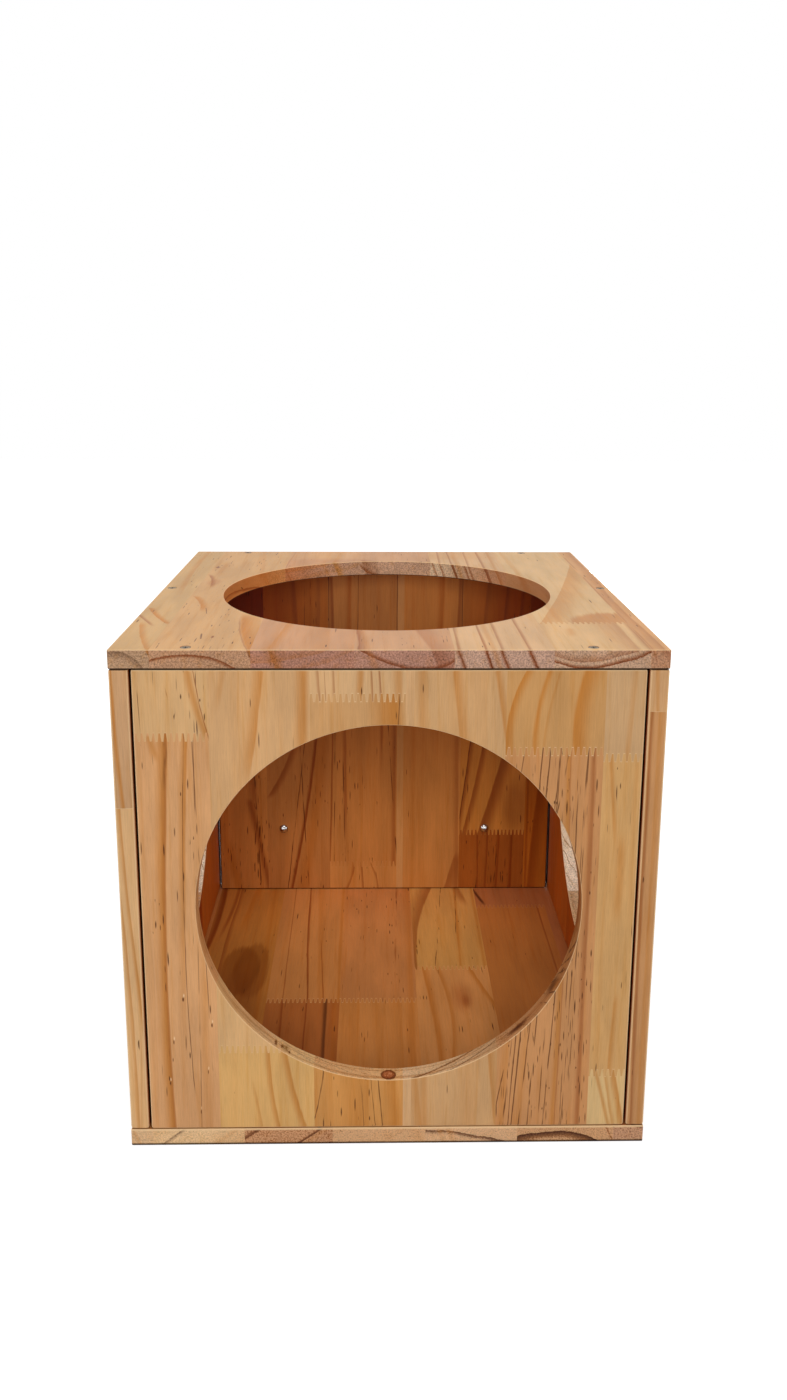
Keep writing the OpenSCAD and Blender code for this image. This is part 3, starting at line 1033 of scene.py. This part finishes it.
# Bottom board, grain front to back
bottomLayout = {
    "across": 0, "through": 2, "along": 1, "face": 15.0, "middle": 0.0, "to": 210.0,
    # the inside tint is painted shade, and it lightens towards the back as painted light; the bottom edge
    # gets a painted contact shadow, and a band under the top edge a painted highlight
    "ends": (1.15, 1.27, 1.67), "endTone": (0.66, 0.42, 0.23), "inward": 1.0, "coat": (0.88, 0.74, 0.54),
    "shadingAlong": (0, 200, (1.13, 0.93, 0.68)), "seamShade": [(2, 0.0, 2.8)], "lipHighlights": [(2, 15.0, 2.0)],
    "staves": [
        stave(-210, timber("tan", 0.05, rings=[(8, 2, 0.5)], late="brown", pith=(10, 45), streaks=[
            ringEnd("sap", (-201, -205), (-201, -212), (40, 40), 0.60),
            ringEnd("amber", (-208, -205), (-208, -212), (3, 2), 0.55),
        ])),
        stave(-192, timber("straw", 0.04, (0.93, 0.86, 0.74), [(12, 4, 0.5)], late="rust", pith=(60, 45),
                slant=-1.3, streaks=[
            ringEnd("sap", (-155, -205), (-155, -212), (80, 80), 0.85),
            ringEnd("brown", (-167, -205), (-166, -212), (1.5, 5), 0.55),
            rust((-188, 200), (-196, 20), (9, 3), 0.75, bend=6),
            rust((-172, 200), (-182, 70), (4, 3), 0.5, bend=3, fade=(0, 0.4)),
            amber((-150, 200), (-160, 90), (3, 8), 0.4, fade=(0, 0.4)),
            amber((-128, 200), (-126, 60), (6, 3), 0.35),
        ], marks=[
            knot((-150, 15, 22), (22, 30, 50), 0.93, 0.40, (0.30, 0.098, 0.014)),
            knot((-138, 15, 24), (19, 30, 56), 0.93, 0.34, (0.30, 0.098, 0.014)),
            knot((-146, 15, -46), (36, 30, 110), 0.3, 0.5, (0.32, 0.112, 0.024)),
        ])),
        stave(-117.5, timber("rose", 0.12, (1.00, 0.95, 0.78), late="brown", pith=(60, -40), slant=-1.4,
                streaks=[
            ringEnd("brown", (-104, -205), (-104, -212), (7, 1.5), 0.55),
            ringEnd("brown", (-54, -205), (-54, -212), (4, 1.5), 0.65),
            rust((-101, -31), (-98, -200), (3, 1), 0.55, fade=(0, 0.05)),
            rust((-78, -31), (-76, -200), (2, 1), 0.65, fade=(0, 0.05)),
            brown((-59, -31), (-57, -200), (4, 2), 0.60),
            amber((-50, -31), (-50, -200), (4, 6), 0.40),
        ]), timber("tan", 0.05, (1.05, 1.06, 1.05), start=-31.7, glue=1.0, streaks=[
            rust((-104, 200), (-102, -30), (0.6, 1.2), 0.45),
            rust((-87, 200), (-78, -30), (0.8, 2.5), 0.70, bend=-1),
            rust((-70, 90), (-62, -30), (0.6, 1.5), 0.55, fade=(0.3, 0)),
            amber((-76, 200), (-66, -30), (3, 10), 0.25),
            amber((-48, 200), (-47, -30), (3, 3), 0.4),
        ])),
        stave(-45.5, timber("tan", 0.08, (1.09, 1.10, 1.05), [(-8, 9, 0.2), (12, 9, 0.2)], pith=(-60, 120),
                streaks=[
            amber((26, -31), (22, -200), (10, 4), 0.35),
            amber((-10, -31), (-4, -200), (6, 6), 0.20),
        ]), timber("pink", 0.14, (0.99, 0.97, 0.83), [(-18, 7, 0.12)], start=-31.7, pith=(-90, 120),
                glue=1.0, streaks=[
            rust((14, 160), (10, 40), (2, 1.5), 0.45, broken=True),
            amber((28, 200), (26, -30), (8, 3), 0.30),
        ])),
        stave(30.5, timber("tan", 0.06, (1.13, 1.19, 1.24), [(-5.2, 4, 0.75)], late="brown",
                pith=(-28, -180), streaks=[
            amber((38, 30), (48, -140), (2, 8), 0.50, bend=2),
            amber((52, 30), (62, -90), (2, 6), 0.40, bend=4),
            amber((86, 30), (106, -40), (6, 1.5), 0.50),
            canal((101, -5), (105, -70), (0.6, 0.5), 0.7),
        ], marks=[
            knot((75, 15, -26), (16, 20, 34), 0.2, 0.42, (0.42, 0.15, 0.05)),
            knot((79, 15, -34), (7, 20, 16), 0.1, 0.40, (0.36, 0.12, 0.035)),
        ]), timber("straw", 0.05, (1.00, 1.05, 1.09), start=25, glue=0.9, streaks=[
            rust((58, 205), (32, 50), (20, 2), 0.50, bend=-6),
            amber((84, 205), (78, 30), (2, 3), 0.45),
            rust((86, 205), (96, 150), (10, 3), 0.45, fade=(0, 0.5)),
            canal((76, 60), (74, 30), (0.7, 0.6), 0.7),
            canal((55, 60), (52, 28), (0.7, 0.6), 0.6),
            amber((103, 205), (103, 30), (3, 3), 0.4),
        ])),
        stave(106, timber("rose", 0.04, (1.06, 1.07, 0.88), [(-4, 7, 0.9)], late="brown", pith=(-10, -75),
                streaks=[
            rust((176, 150), (178, -60), (2, 1), 0.5),
        ]), timber("rose", 0.05, start=152, glue=0.4, streaks=[
            brown((104, 196), (117, 152), (3, 3), 0.75, fade=(0.1, 0.3)),
        ])),
        stave(185, timber("rose", 0.05, rings=[(-2, 6, 0.5)], late="brown", pith=(20, 30))),
    ],
}

bottomBoard = makeBoard("bottomBoard", "bottom_board", boardShape["plateEdge"])
sinkScrews(bottomBoard, "bottom", False)
finishBoard(bottomBoard, "bottom_board", bottomLayout)

# Back panel, grain upright, seen from inside
backLayout = {
    "across": 0, "through": 1, "along": 2, "face": 195.0, "middle": 210.0, "to": 193.4,
    # the inside tint is painted shade, and it darkens towards the top as painted shade under the top board;
    # the joint lines get painted shade, and the rounded edges almost no painted highlight
    "ends": (0.97, 0.97, 1.05), "inward": -1.0, "coat": (1.09, 0.92, 0.69),
    "shadingAlong": (50, 270, (0.61, 0.39, 0.22)), "seamShade": endSeamShade("back_panel", {0: 1.6, 2: 1.6}),
    "edgeHighlight": 0.05,
    # the upper lengths, from about 260 mm up, are darker at both sides and paler in the middle: painted
    # shade in the upper corners and painted light in the middle
    "staves": [
        stave(-193.4, timber("rose", 0.30, (1.22, 1.32, 1.12), [(-16, 8, 0.3), (20, 6, 0.3)], streaks=[
            rust((-160, 410), (-150, 80), (10, 5), 0.45, fade=(0, 0.2)),
            canal((-149, 100), (-146, 15), (0.8, 0.7), 0.8),
            amber((-186, 90), (-172, 15), (8, 10), 0.45, fade=(0.4, 0)),
            brown((-146, 98), (-147, 78), (1.6, 1.0), 0.8, fade=(0.3, 0.3)),
            brown((-151, 92), (-152, 70), (1.3, 0.9), 0.75, fade=(0.3, 0.3)),
            brown((-143, 76), (-144, 60), (1.4, 0.9), 0.8, fade=(0.3, 0.3)),
            brown((-149, 64), (-149, 46), (1.5, 1.0), 0.8, fade=(0.3, 0.3)),
            brown((-141, 58), (-142, 40), (1.2, 0.8), 0.75, fade=(0.3, 0.3)),
            brown((-153, 50), (-153, 36), (1.2, 0.8), 0.75, fade=(0.3, 0.3)),
            rust((-158, 132), (-150, 92), (7, 5), 0.5, fade=(0.2, 0)),
        ]), timber("honey", 0.1, (0.74, 0.50, 0.30), start=262, glue=0.3, streaks=[
            rust((-150, 410), (-146, 262), (5, 2), 0.45),
        ])),
        stave(-136.7, timber("pink", 0.10, (0.97, 0.95, 0.74), streaks=[
            rust((-76, 230), (-109, 15), (4, 2), 0.80, bend=3),
            amber((-68, 230), (-96, 15), (14, 10), 0.35, bend=3),
            rust((-100, 230), (-138, 128), (2, 9), 0.50, bend=7, fade=(0, 0.1)),
            canal((-97, 170), (-95, 130), (0.8, 0.6), 0.75),
            canal((-103, 110), (-110, 50), (0.8, 0.6), 0.7),
        ]), timber("honey", 0.12, (1.0, 0.97, 0.72), start=256, glue=0.3, streaks=[
            rust((-104, 410), (-98, 256), (7, 2), 0.55, bend=2),
            rust((-74, 410), (-80, 256), (6, 1.5), 0.6, bend=3),
            canal((-90, 390), (-91, 330), (0.8, 0.6), 0.7),
            sap((-64, 410), (-64, 256), (62, 10), 0.38),
        ])),
        stave(-64, timber("tan", 0.06, (1.06, 1.10, 1.04), [(-10, 8, 0.3)], streaks=[
            rust((-34, 50), (-44, 15), (4, 1), 0.35, bend=2),
            rust((-26, 50), (-24, 15), (3, 1), 0.45),
            rust((-16, 50), (-6, 15), (3, 1), 0.35, bend=2),
        ]), timber("tan", 0.22, (1.03, 1.04, 0.96), start=47, glue=0.2, streaks=[
            rust((-58, 410), (-64, 47), (1.5, 2), 0.55, bend=2),
            rust((-46, 410), (-44, 60), (5, 2), 0.45, fade=(0, 0.2)),
            canal((-48, 220), (-46, 100), (0.7, 0.6), 0.7),
            canal((-57, 180), (-58, 110), (0.7, 0.6), 0.7),
            rust((0, 410), (-4, 150), (3, 2), 0.55, fade=(0, 0.3)),
            canal((4, 220), (6, 190), (0.7, 0.6), 0.75),
            rust((11, 410), (12, 60), (6, 3), 0.40),
        ]), timber("pale", 0.08, (1.08, 1.08, 1.02), start=272, glue=0.3, streaks=[
            rust((-60, 410), (-57, 272), (6, 2), 0.5),
            amber((-38, 410), (-40, 272), (7, 3), 0.5),
            canal((-29, 395), (-30, 330), (0.8, 0.6), 0.6),
            brown((-63.4, 410), (-63.4, 272), (0.6, 1.0), 0.6),
            brown((13.8, 410), (13.8, 272), (1.0, 0.6), 0.6),
        ])),
        stave(14.5, timber("cream", 0.0, (0.93, 0.86, 0.72)),
              timber("cream", 0.0, (1.14, 1.16, 1.10), start=268, glue=0.2)),
        stave(22, timber("tan", 0.03, (1.05, 1.08, 1.00), [(-10, 10, 0.1)], streaks=[
            rust((86, 66), (72, 15), (2, 20), 0.40, fade=(0.3, 0)),
            rust((82, 410), (86, 100), (8, 2), 0.30),
            amber((34, 410), (33, 15), (5, 5), 0.22),
        ]), timber("tan", 0.04, (1.24, 1.38, 1.38), start=262, glue=0.3, streaks=[
            amber((66, 410), (60, 262), (8, 3), 0.5, bend=2),
            rust((84, 410), (78, 262), (2, 6), 0.45, bend=2),
            brown((87.8, 410), (87.8, 262), (1.0, 0.6), 0.6),
        ])),
        stave(88.5, timber("rose", 0.35, (0.93, 0.82, 0.50), late="rust", streaks=[
            rust((110, 90), (111, 15), (2, 1), 0.6),
            rust((122, 90), (120, 15), (3, 1), 0.6),
            rust((136, 90), (133, 15), (4, 1.5), 0.6),
            rust((151, 90), (150, 15), (4, 1.5), 0.7),
            canal((134, 84), (132, 54), (0.8, 0.7), 0.85),
            canal((112, 74), (110, 36), (0.8, 0.7), 0.85),
        ]), timber("tan", 0.05, (1.10, 1.11, 0.88), start=87, glue=0.15, streaks=[
            rust((108, 290), (89, 110), (1.5, 6), 0.55, bend=2),
            rust((128, 290), (96, 100), (1.5, 8), 0.55, bend=3),
            rust((160, 290), (112, 90), (2, 18), 0.62, bend=4),
            brown((102, 212), (98, 180), (0.6, 0.6), 0.7),
        ], marks=[
            knot((152, 195, 120), (20, 30, 42), 0.5, 0.30, (0.30, 0.11, 0.03)),
        ]), timber("honey", 0.05, (0.92, 0.84, 0.45), start=268, glue=0.3, streaks=[
            rust((116, 410), (104, 268), (2, 5), 0.6, bend=2),
            rust((138, 410), (124, 268), (2, 5), 0.6, bend=3),
            rust((158, 410), (148, 268), (3, 4), 0.5),
            sap((88, 410), (88, 268), (10, 62), 0.42),
        ])),
        stave(165, timber("honey", 0.06, (1.05, 1.11, 0.93), streaks=[
            rust((190, 220), (172, 15), (3, 16), 0.55, bend=-2),
            rust((168, 270), (168, 60), (2, 3), 0.45),
        ]), timber("honey", 0.06, (0.77, 0.58, 0.38), start=262, glue=0.3)),
    ],
}

backPanel = makeBoard("backPanel", "back_panel", boardShape["panelEdge"])
sinkInserts(backPanel)
finishBoard(backPanel, "back_panel", backLayout)

# Side boards: the first stave shows on the front of the box, the others are grown from a seed
sideFigure = {
    "edges": [-150, -76, -2, 71, 145],
    "tones": ["pale", "pink", "straw", "tan", "pale", "cream", "pink", "tan"],
    "late": ["amber", "amber", "rust"],
    "dashes": (0.02, 0.05, 0.12, 0.25),
    "joint": (60, 360),
    "pith": ((20, 120), (30, 90)),
    "lean": (0.08, 0.03),
    "seeds": (1, 9999),
    "apart": (8, 15),
    "dark": (0.4, 0.8),
    "glue": (0.4, 0.8),
    "rear": {"beyond": 50, "tone": "cream", "tint": (1.08, 1.12, 1.15), "rings": 0.3},
}


def sideLayout(seed, node, face, inward, firstLengths):
    draw = random.Random(seed)
    staves = [stave(-210, *firstLengths)]
    rear = sideFigure["rear"]
    for edge in sideFigure["edges"]:
        lengths = []
        for start in (None, draw.uniform(*sideFigure["joint"])):
            length = timber(
                tone=draw.choice(sideFigure["tones"]), late=draw.choice(sideFigure["late"]),
                pith=tuple(draw.choice((-1, 1)) * draw.uniform(*reach) for reach in sideFigure["pith"]),
                lean=tuple(draw.uniform(-reach, reach) for reach in sideFigure["lean"]),
                rings=growRings(draw.randint(*sideFigure["seeds"]), draw.uniform(*sideFigure["apart"]),
                                draw.uniform(*sideFigure["dark"])),
                dash=draw.choice(sideFigure["dashes"]), start=start)
            if edge > rear["beyond"]:
                # paler rims at the back of the opening: painted light
                faint = [(at, wide, rear["rings"] * dark) for at, wide, dark in length["rings"]]
                length.update({"tone": rear["tone"], "tint": rear["tint"], "rings": faint})
            if start is not None:
                length["glue"] = draw.uniform(*sideFigure["glue"])
            lengths.append(length)
        staves.append(stave(edge, *lengths))
    return {
        "across": 1, "through": 0, "along": 2, "face": face, "middle": 210.0, "to": 210.0, "staves": staves,
        # the inside tint is painted shade; rims facing forward get painted light; the joints and the inner
        # faces in the gaps beside the panels get painted shade
        "ends": (0.97, 0.97, 1.05), "inward": inward, "coat": (0.62, 0.21, 0.035),
        "sides": ((1.0, 1.0, 1.0), (1.38, 1.55, 1.75)), "rimBands": (1.5, 15.0, (0.50, 0.33, 0.19)),
        "seamShade": endSeamShade(node, {2: 1.3}), "gapShade": (195.4, 207.0),
    }


leftLayout = sideLayout(11, "left_side_board", -210.0, 1.0, [
    timber("pale", 0.02, (1.10, 1.14, 1.14), slant=1.0, streaks=[
        amber((-206, 300), (-199, 150), (3, 1), 0.60, bend=-1),
        amber((-209, 230), (-203, 15), (3, 1), 0.55, bend=1),
        amber((-198, 120), (-201, 15), (2, 1), 0.35, fade=(0.4, 0)),
        amber((-175, 300), (-170, 15), (6, 2), 0.50),
    ]),
    timber("pale", 0.02, (0.95, 0.95, 0.985), start=298, glue=0.5, slant=1.0, streaks=[
        amber((-207, 408), (-203, 296), (3, 2), 0.72, bend=-1),
        amber((-180, 408), (-176, 296), (6, 2), 0.50),
    ]),
])
leftBoard = makeBoard("leftSideBoard", "left_side_board", boardShape["panelEdge"])
cutOpening(leftBoard, 0)
finishBoard(leftBoard, "left_side_board", leftLayout)

rightLayout = sideLayout(23, "right_side_board", 210.0, -1.0, [
    timber("pink", 0.04, (0.97, 0.97, 0.80), slant=-1.0, streaks=[
        rust((-198, 380), (-199, 15), (3, 2), 0.60, bend=1),
        amber((-204, 380), (-205, 15), (4, 2), 0.40),
        amber((-170, 380), (-175, 15), (6, 2), 0.50),
    ]),
    timber("pale", 0.02, start=375, glue=0.45, slant=-1.0, streaks=[
        amber((-200, 408), (-202, 372), (3, 2), 0.45),
        amber((-180, 408), (-184, 372), (6, 2), 0.45),
    ]),
])
rightBoard = makeBoard("rightSideBoard", "right_side_board", boardShape["panelEdge"])
cutOpening(rightBoard, 0)
finishBoard(rightBoard, "right_side_board", rightLayout)


# Metal: noise, tones and roughness of each finish
metalLooks = {
    "zincPlate": {
        "cloud": (900.0, 3.0), "tones": ((0.020, 0.013, 0.008), (0.17, 0.12, 0.07)),
        "roughness": (0.28, 0.46)},
    "polishedBolt": {
        "cloud": (700.0, 2.0), "tones": ((0.42, 0.41, 0.40), (0.56, 0.55, 0.54)),
        "roughness": (0.10, 0.18)},
    # the cross and the rim of a screw head take the dark tone: painted shade
    "screwHead": {
        "cloud": (900.0, 3.0), "tones": ((0.11, 0.075, 0.04), (0.40, 0.31, 0.20)),
        "roughness": (0.34, 0.5), "places": ((153.0, 202.5), (202.5, 12.0)), "cross": (2.4, 0.6),
        "rim": (3.5, 3.1), "dark": (0.014, 0.009, 0.005), "metallic": (0.3, 1.0)},
}


def unshadedHeads(tree, where, look):
    # all of a head but its cross and its rim, which get painted shade
    x, y = [over(tree, sizeOf(tree, part), mm) for part in partsOf(tree, where)[:2]]
    long, wide = look["cross"]
    unshaded = 0.0
    for placeX, placeY in look["places"]:
        aside = sizeOf(tree, minus(tree, x, placeX))
        behind = sizeOf(tree, minus(tree, y, placeY))
        away = lengthOf(tree, vectorOf(tree, aside, behind, 0.0))
        arms = softStep(tree, least(tree, aside, behind), wide, 0.7 * wide)
        inCross = times(tree, arms, softStep(tree, away, long, 0.9 * long))
        head = minus(tree, softStep(tree, away, *look["rim"]), inCross)
        unshaded = most(tree, unshaded, head)
    return unshaded


def metalMaterial(name):
    look = metalLooks[name]
    material, tree, surface = newMaterial(name)
    where = tree.nodes.new("ShaderNodeTexCoord").outputs["Object"]
    cloud = noiseOf(tree, where, *look["cloud"])["Fac"]
    colour = blend(tree, cloud, *look["tones"])
    surface.inputs["Metallic"].default_value = 1.0
    if "cross" in look:
        unshaded = unshadedHeads(tree, where, look)
        # painted shade in the cross recess and round the rim of each head
        colour = blend(tree, unshaded, look["dark"], colour)
        plug(tree, surface.inputs["Metallic"], softStep(tree, unshaded, 0.0, 1.0, *look["metallic"]))
    plug(tree, surface.inputs["Base Color"], colour)
    plug(tree, surface.inputs["Roughness"], softStep(tree, cloud, 0.3, 0.7, *look["roughness"]))
    return material


metals = {name: metalMaterial(name) for name in metalLooks}
for name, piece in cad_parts.items():
    finish = {"link_inserts": "zincPlate", "link_bolts": "polishedBolt"}.get(name)
    if "screws" in name:
        finish = "screwHead"
    if finish:
        piece.data.materials.clear()
        piece.data.materials.append(metals[finish])
print("metal done")


# Studio

def seenRays(tree):
    # the camera and reflections see the white of the studio
    rays = tree.nodes.new("ShaderNodeLightPath")
    seen = most(tree, rays.outputs["Is Camera Ray"], rays.outputs["Is Glossy Ray"])
    return most(tree, seen, rays.outputs["Is Transmission Ray"])


floorSettings = {
    "size": 12.0, "drop": 0.2 * mm, "paint": 0.80, "seenPaint": 0.45, "glow": 0.74, "white": (0.45, 1.2)}


def makeFloor():
    deselectAll()
    bpy.ops.mesh.primitive_plane_add(size=floorSettings["size"], location=(0, 0, -floorSettings["drop"]))
    floor = bpy.context.object
    floor.name = "studioFloor"
    fixPlace(floor)
    material = bpy.data.materials.new("studioFloor")
    material.use_nodes = True
    tree = material.node_tree
    tree.nodes.clear()
    paint = tree.nodes.new("ShaderNodeBsdfDiffuse")
    glow = tree.nodes.new("ShaderNodeEmission")
    seen = seenRays(tree)
    where = tree.nodes.new("ShaderNodeTexCoord")
    near, far = floorSettings["white"]
    level = softStep(tree, lengthOf(tree, where.outputs["Object"]), near, far, floorSettings["glow"], 1.0)
    plug(tree, glow.inputs["Strength"], times(tree, seen, level))
    coats = [(floorSettings[coat],) * 3 for coat in ("paint", "seenPaint")]
    plug(tree, paint.inputs["Color"], blend(tree, seen, *coats))
    both = tree.nodes.new("ShaderNodeAddShader")
    plug(tree, both.inputs[0], paint.outputs[0])
    plug(tree, both.inputs[1], glow.outputs[0])
    out = tree.nodes.new("ShaderNodeOutputMaterial")
    plug(tree, out.inputs["Surface"], both.outputs[0])
    floor.data.materials.append(material)


worldSettings = {"light": 0.22, "seen": 1.0}


def makeWorld():
    world = bpy.data.worlds.new("whiteStudio")
    bpy.context.scene.world = world
    world.use_nodes = True
    tree = world.node_tree
    seen = seenRays(tree)
    sky = tree.nodes["Background"]
    sky.inputs["Color"].default_value = (1, 1, 1, 1)
    light = worldSettings["light"]
    strength = timesPlus(tree, seen, worldSettings["seen"] - light, light)
    plug(tree, sky.inputs["Strength"], strength)


lampSettings = {
    "front": {"place": (-0.1, -1.9, 1.1), "aim": (0, 0, 0.2), "size": 0.7, "power": 11.5},
    "key": {"place": (-1.6, -1.5, 1.0), "aim": (0, 0, 0.2), "size": 1.0, "power": 5.0},
    "fill": {"place": (1.6, -1.5, 1.0), "aim": (0, 0, 0.2), "size": 1.0, "power": 3.0},
    "overhead": {"place": (0, 0.2, 2.0), "aim": (0, 0, 0.4), "size": 1.4, "power": 12.5},
    "forward": {"place": (0, -0.55, 2.0), "aim": (0, 0, 0.25), "size": 0.8, "power": 8.0},
    "leftSide": {"place": (-2.1, -0.2, 0.9), "aim": (0, 0, 0.25), "size": 1.0, "power": 6.0},
    "rightSide": {"place": (2.1, -0.2, 0.9), "aim": (0, 0, 0.25), "size": 1.0, "power": 8.0},
    "rear": {"place": (0.5, 2.3, 0.2), "aim": (0, 0, 0.2), "size": 0.4, "power": 12.0},
}


def makeLamps():
    for name, lamp in lampSettings.items():
        light = bpy.data.lights.new(name + "Lamp", "AREA")
        light.size = lamp["size"]
        light.energy = lamp["power"]
        holder = bpy.data.objects.new(name + "Lamp", light)
        bpy.context.scene.collection.objects.link(holder)
        place = Vector(lamp["place"])
        holder.location = place
        holder.rotation_euler = (Vector(lamp["aim"]) - place).to_track_quat("-Z", "Y").to_euler()


cameraSettings = {
    "place": (-0.01205, -0.97524, 0.62861),
    "pitchDown": 11.692,
    "yaw": -1.058,
    "roll": 0.279,
    "lens": 27.42,
    "shiftY": -0.0832,
    "sensor": 36.0,
    "nearest": 0.01,
}


def makeCamera():
    camera = bpy.data.cameras.new("photoCamera")
    camera.sensor_width = cameraSettings["sensor"]
    camera.lens = cameraSettings["lens"]
    camera.shift_y = cameraSettings["shiftY"]
    camera.clip_start = cameraSettings["nearest"]
    holder = bpy.data.objects.new("photoCamera", camera)
    bpy.context.scene.collection.objects.link(holder)
    tilt = math.radians(90 - cameraSettings["pitchDown"])
    turn = Euler((tilt, 0, math.radians(cameraSettings["yaw"]))).to_matrix().to_4x4()
    roll = Matrix.Rotation(math.radians(cameraSettings["roll"]), 4, "Z")
    holder.matrix_world = Matrix.Translation(cameraSettings["place"]) @ turn @ roll
    bpy.context.scene.camera = holder


makeFloor()
makeWorld()
makeLamps()
makeCamera()
bpy.context.scene.view_settings.view_transform = "Standard"
print("studio done")
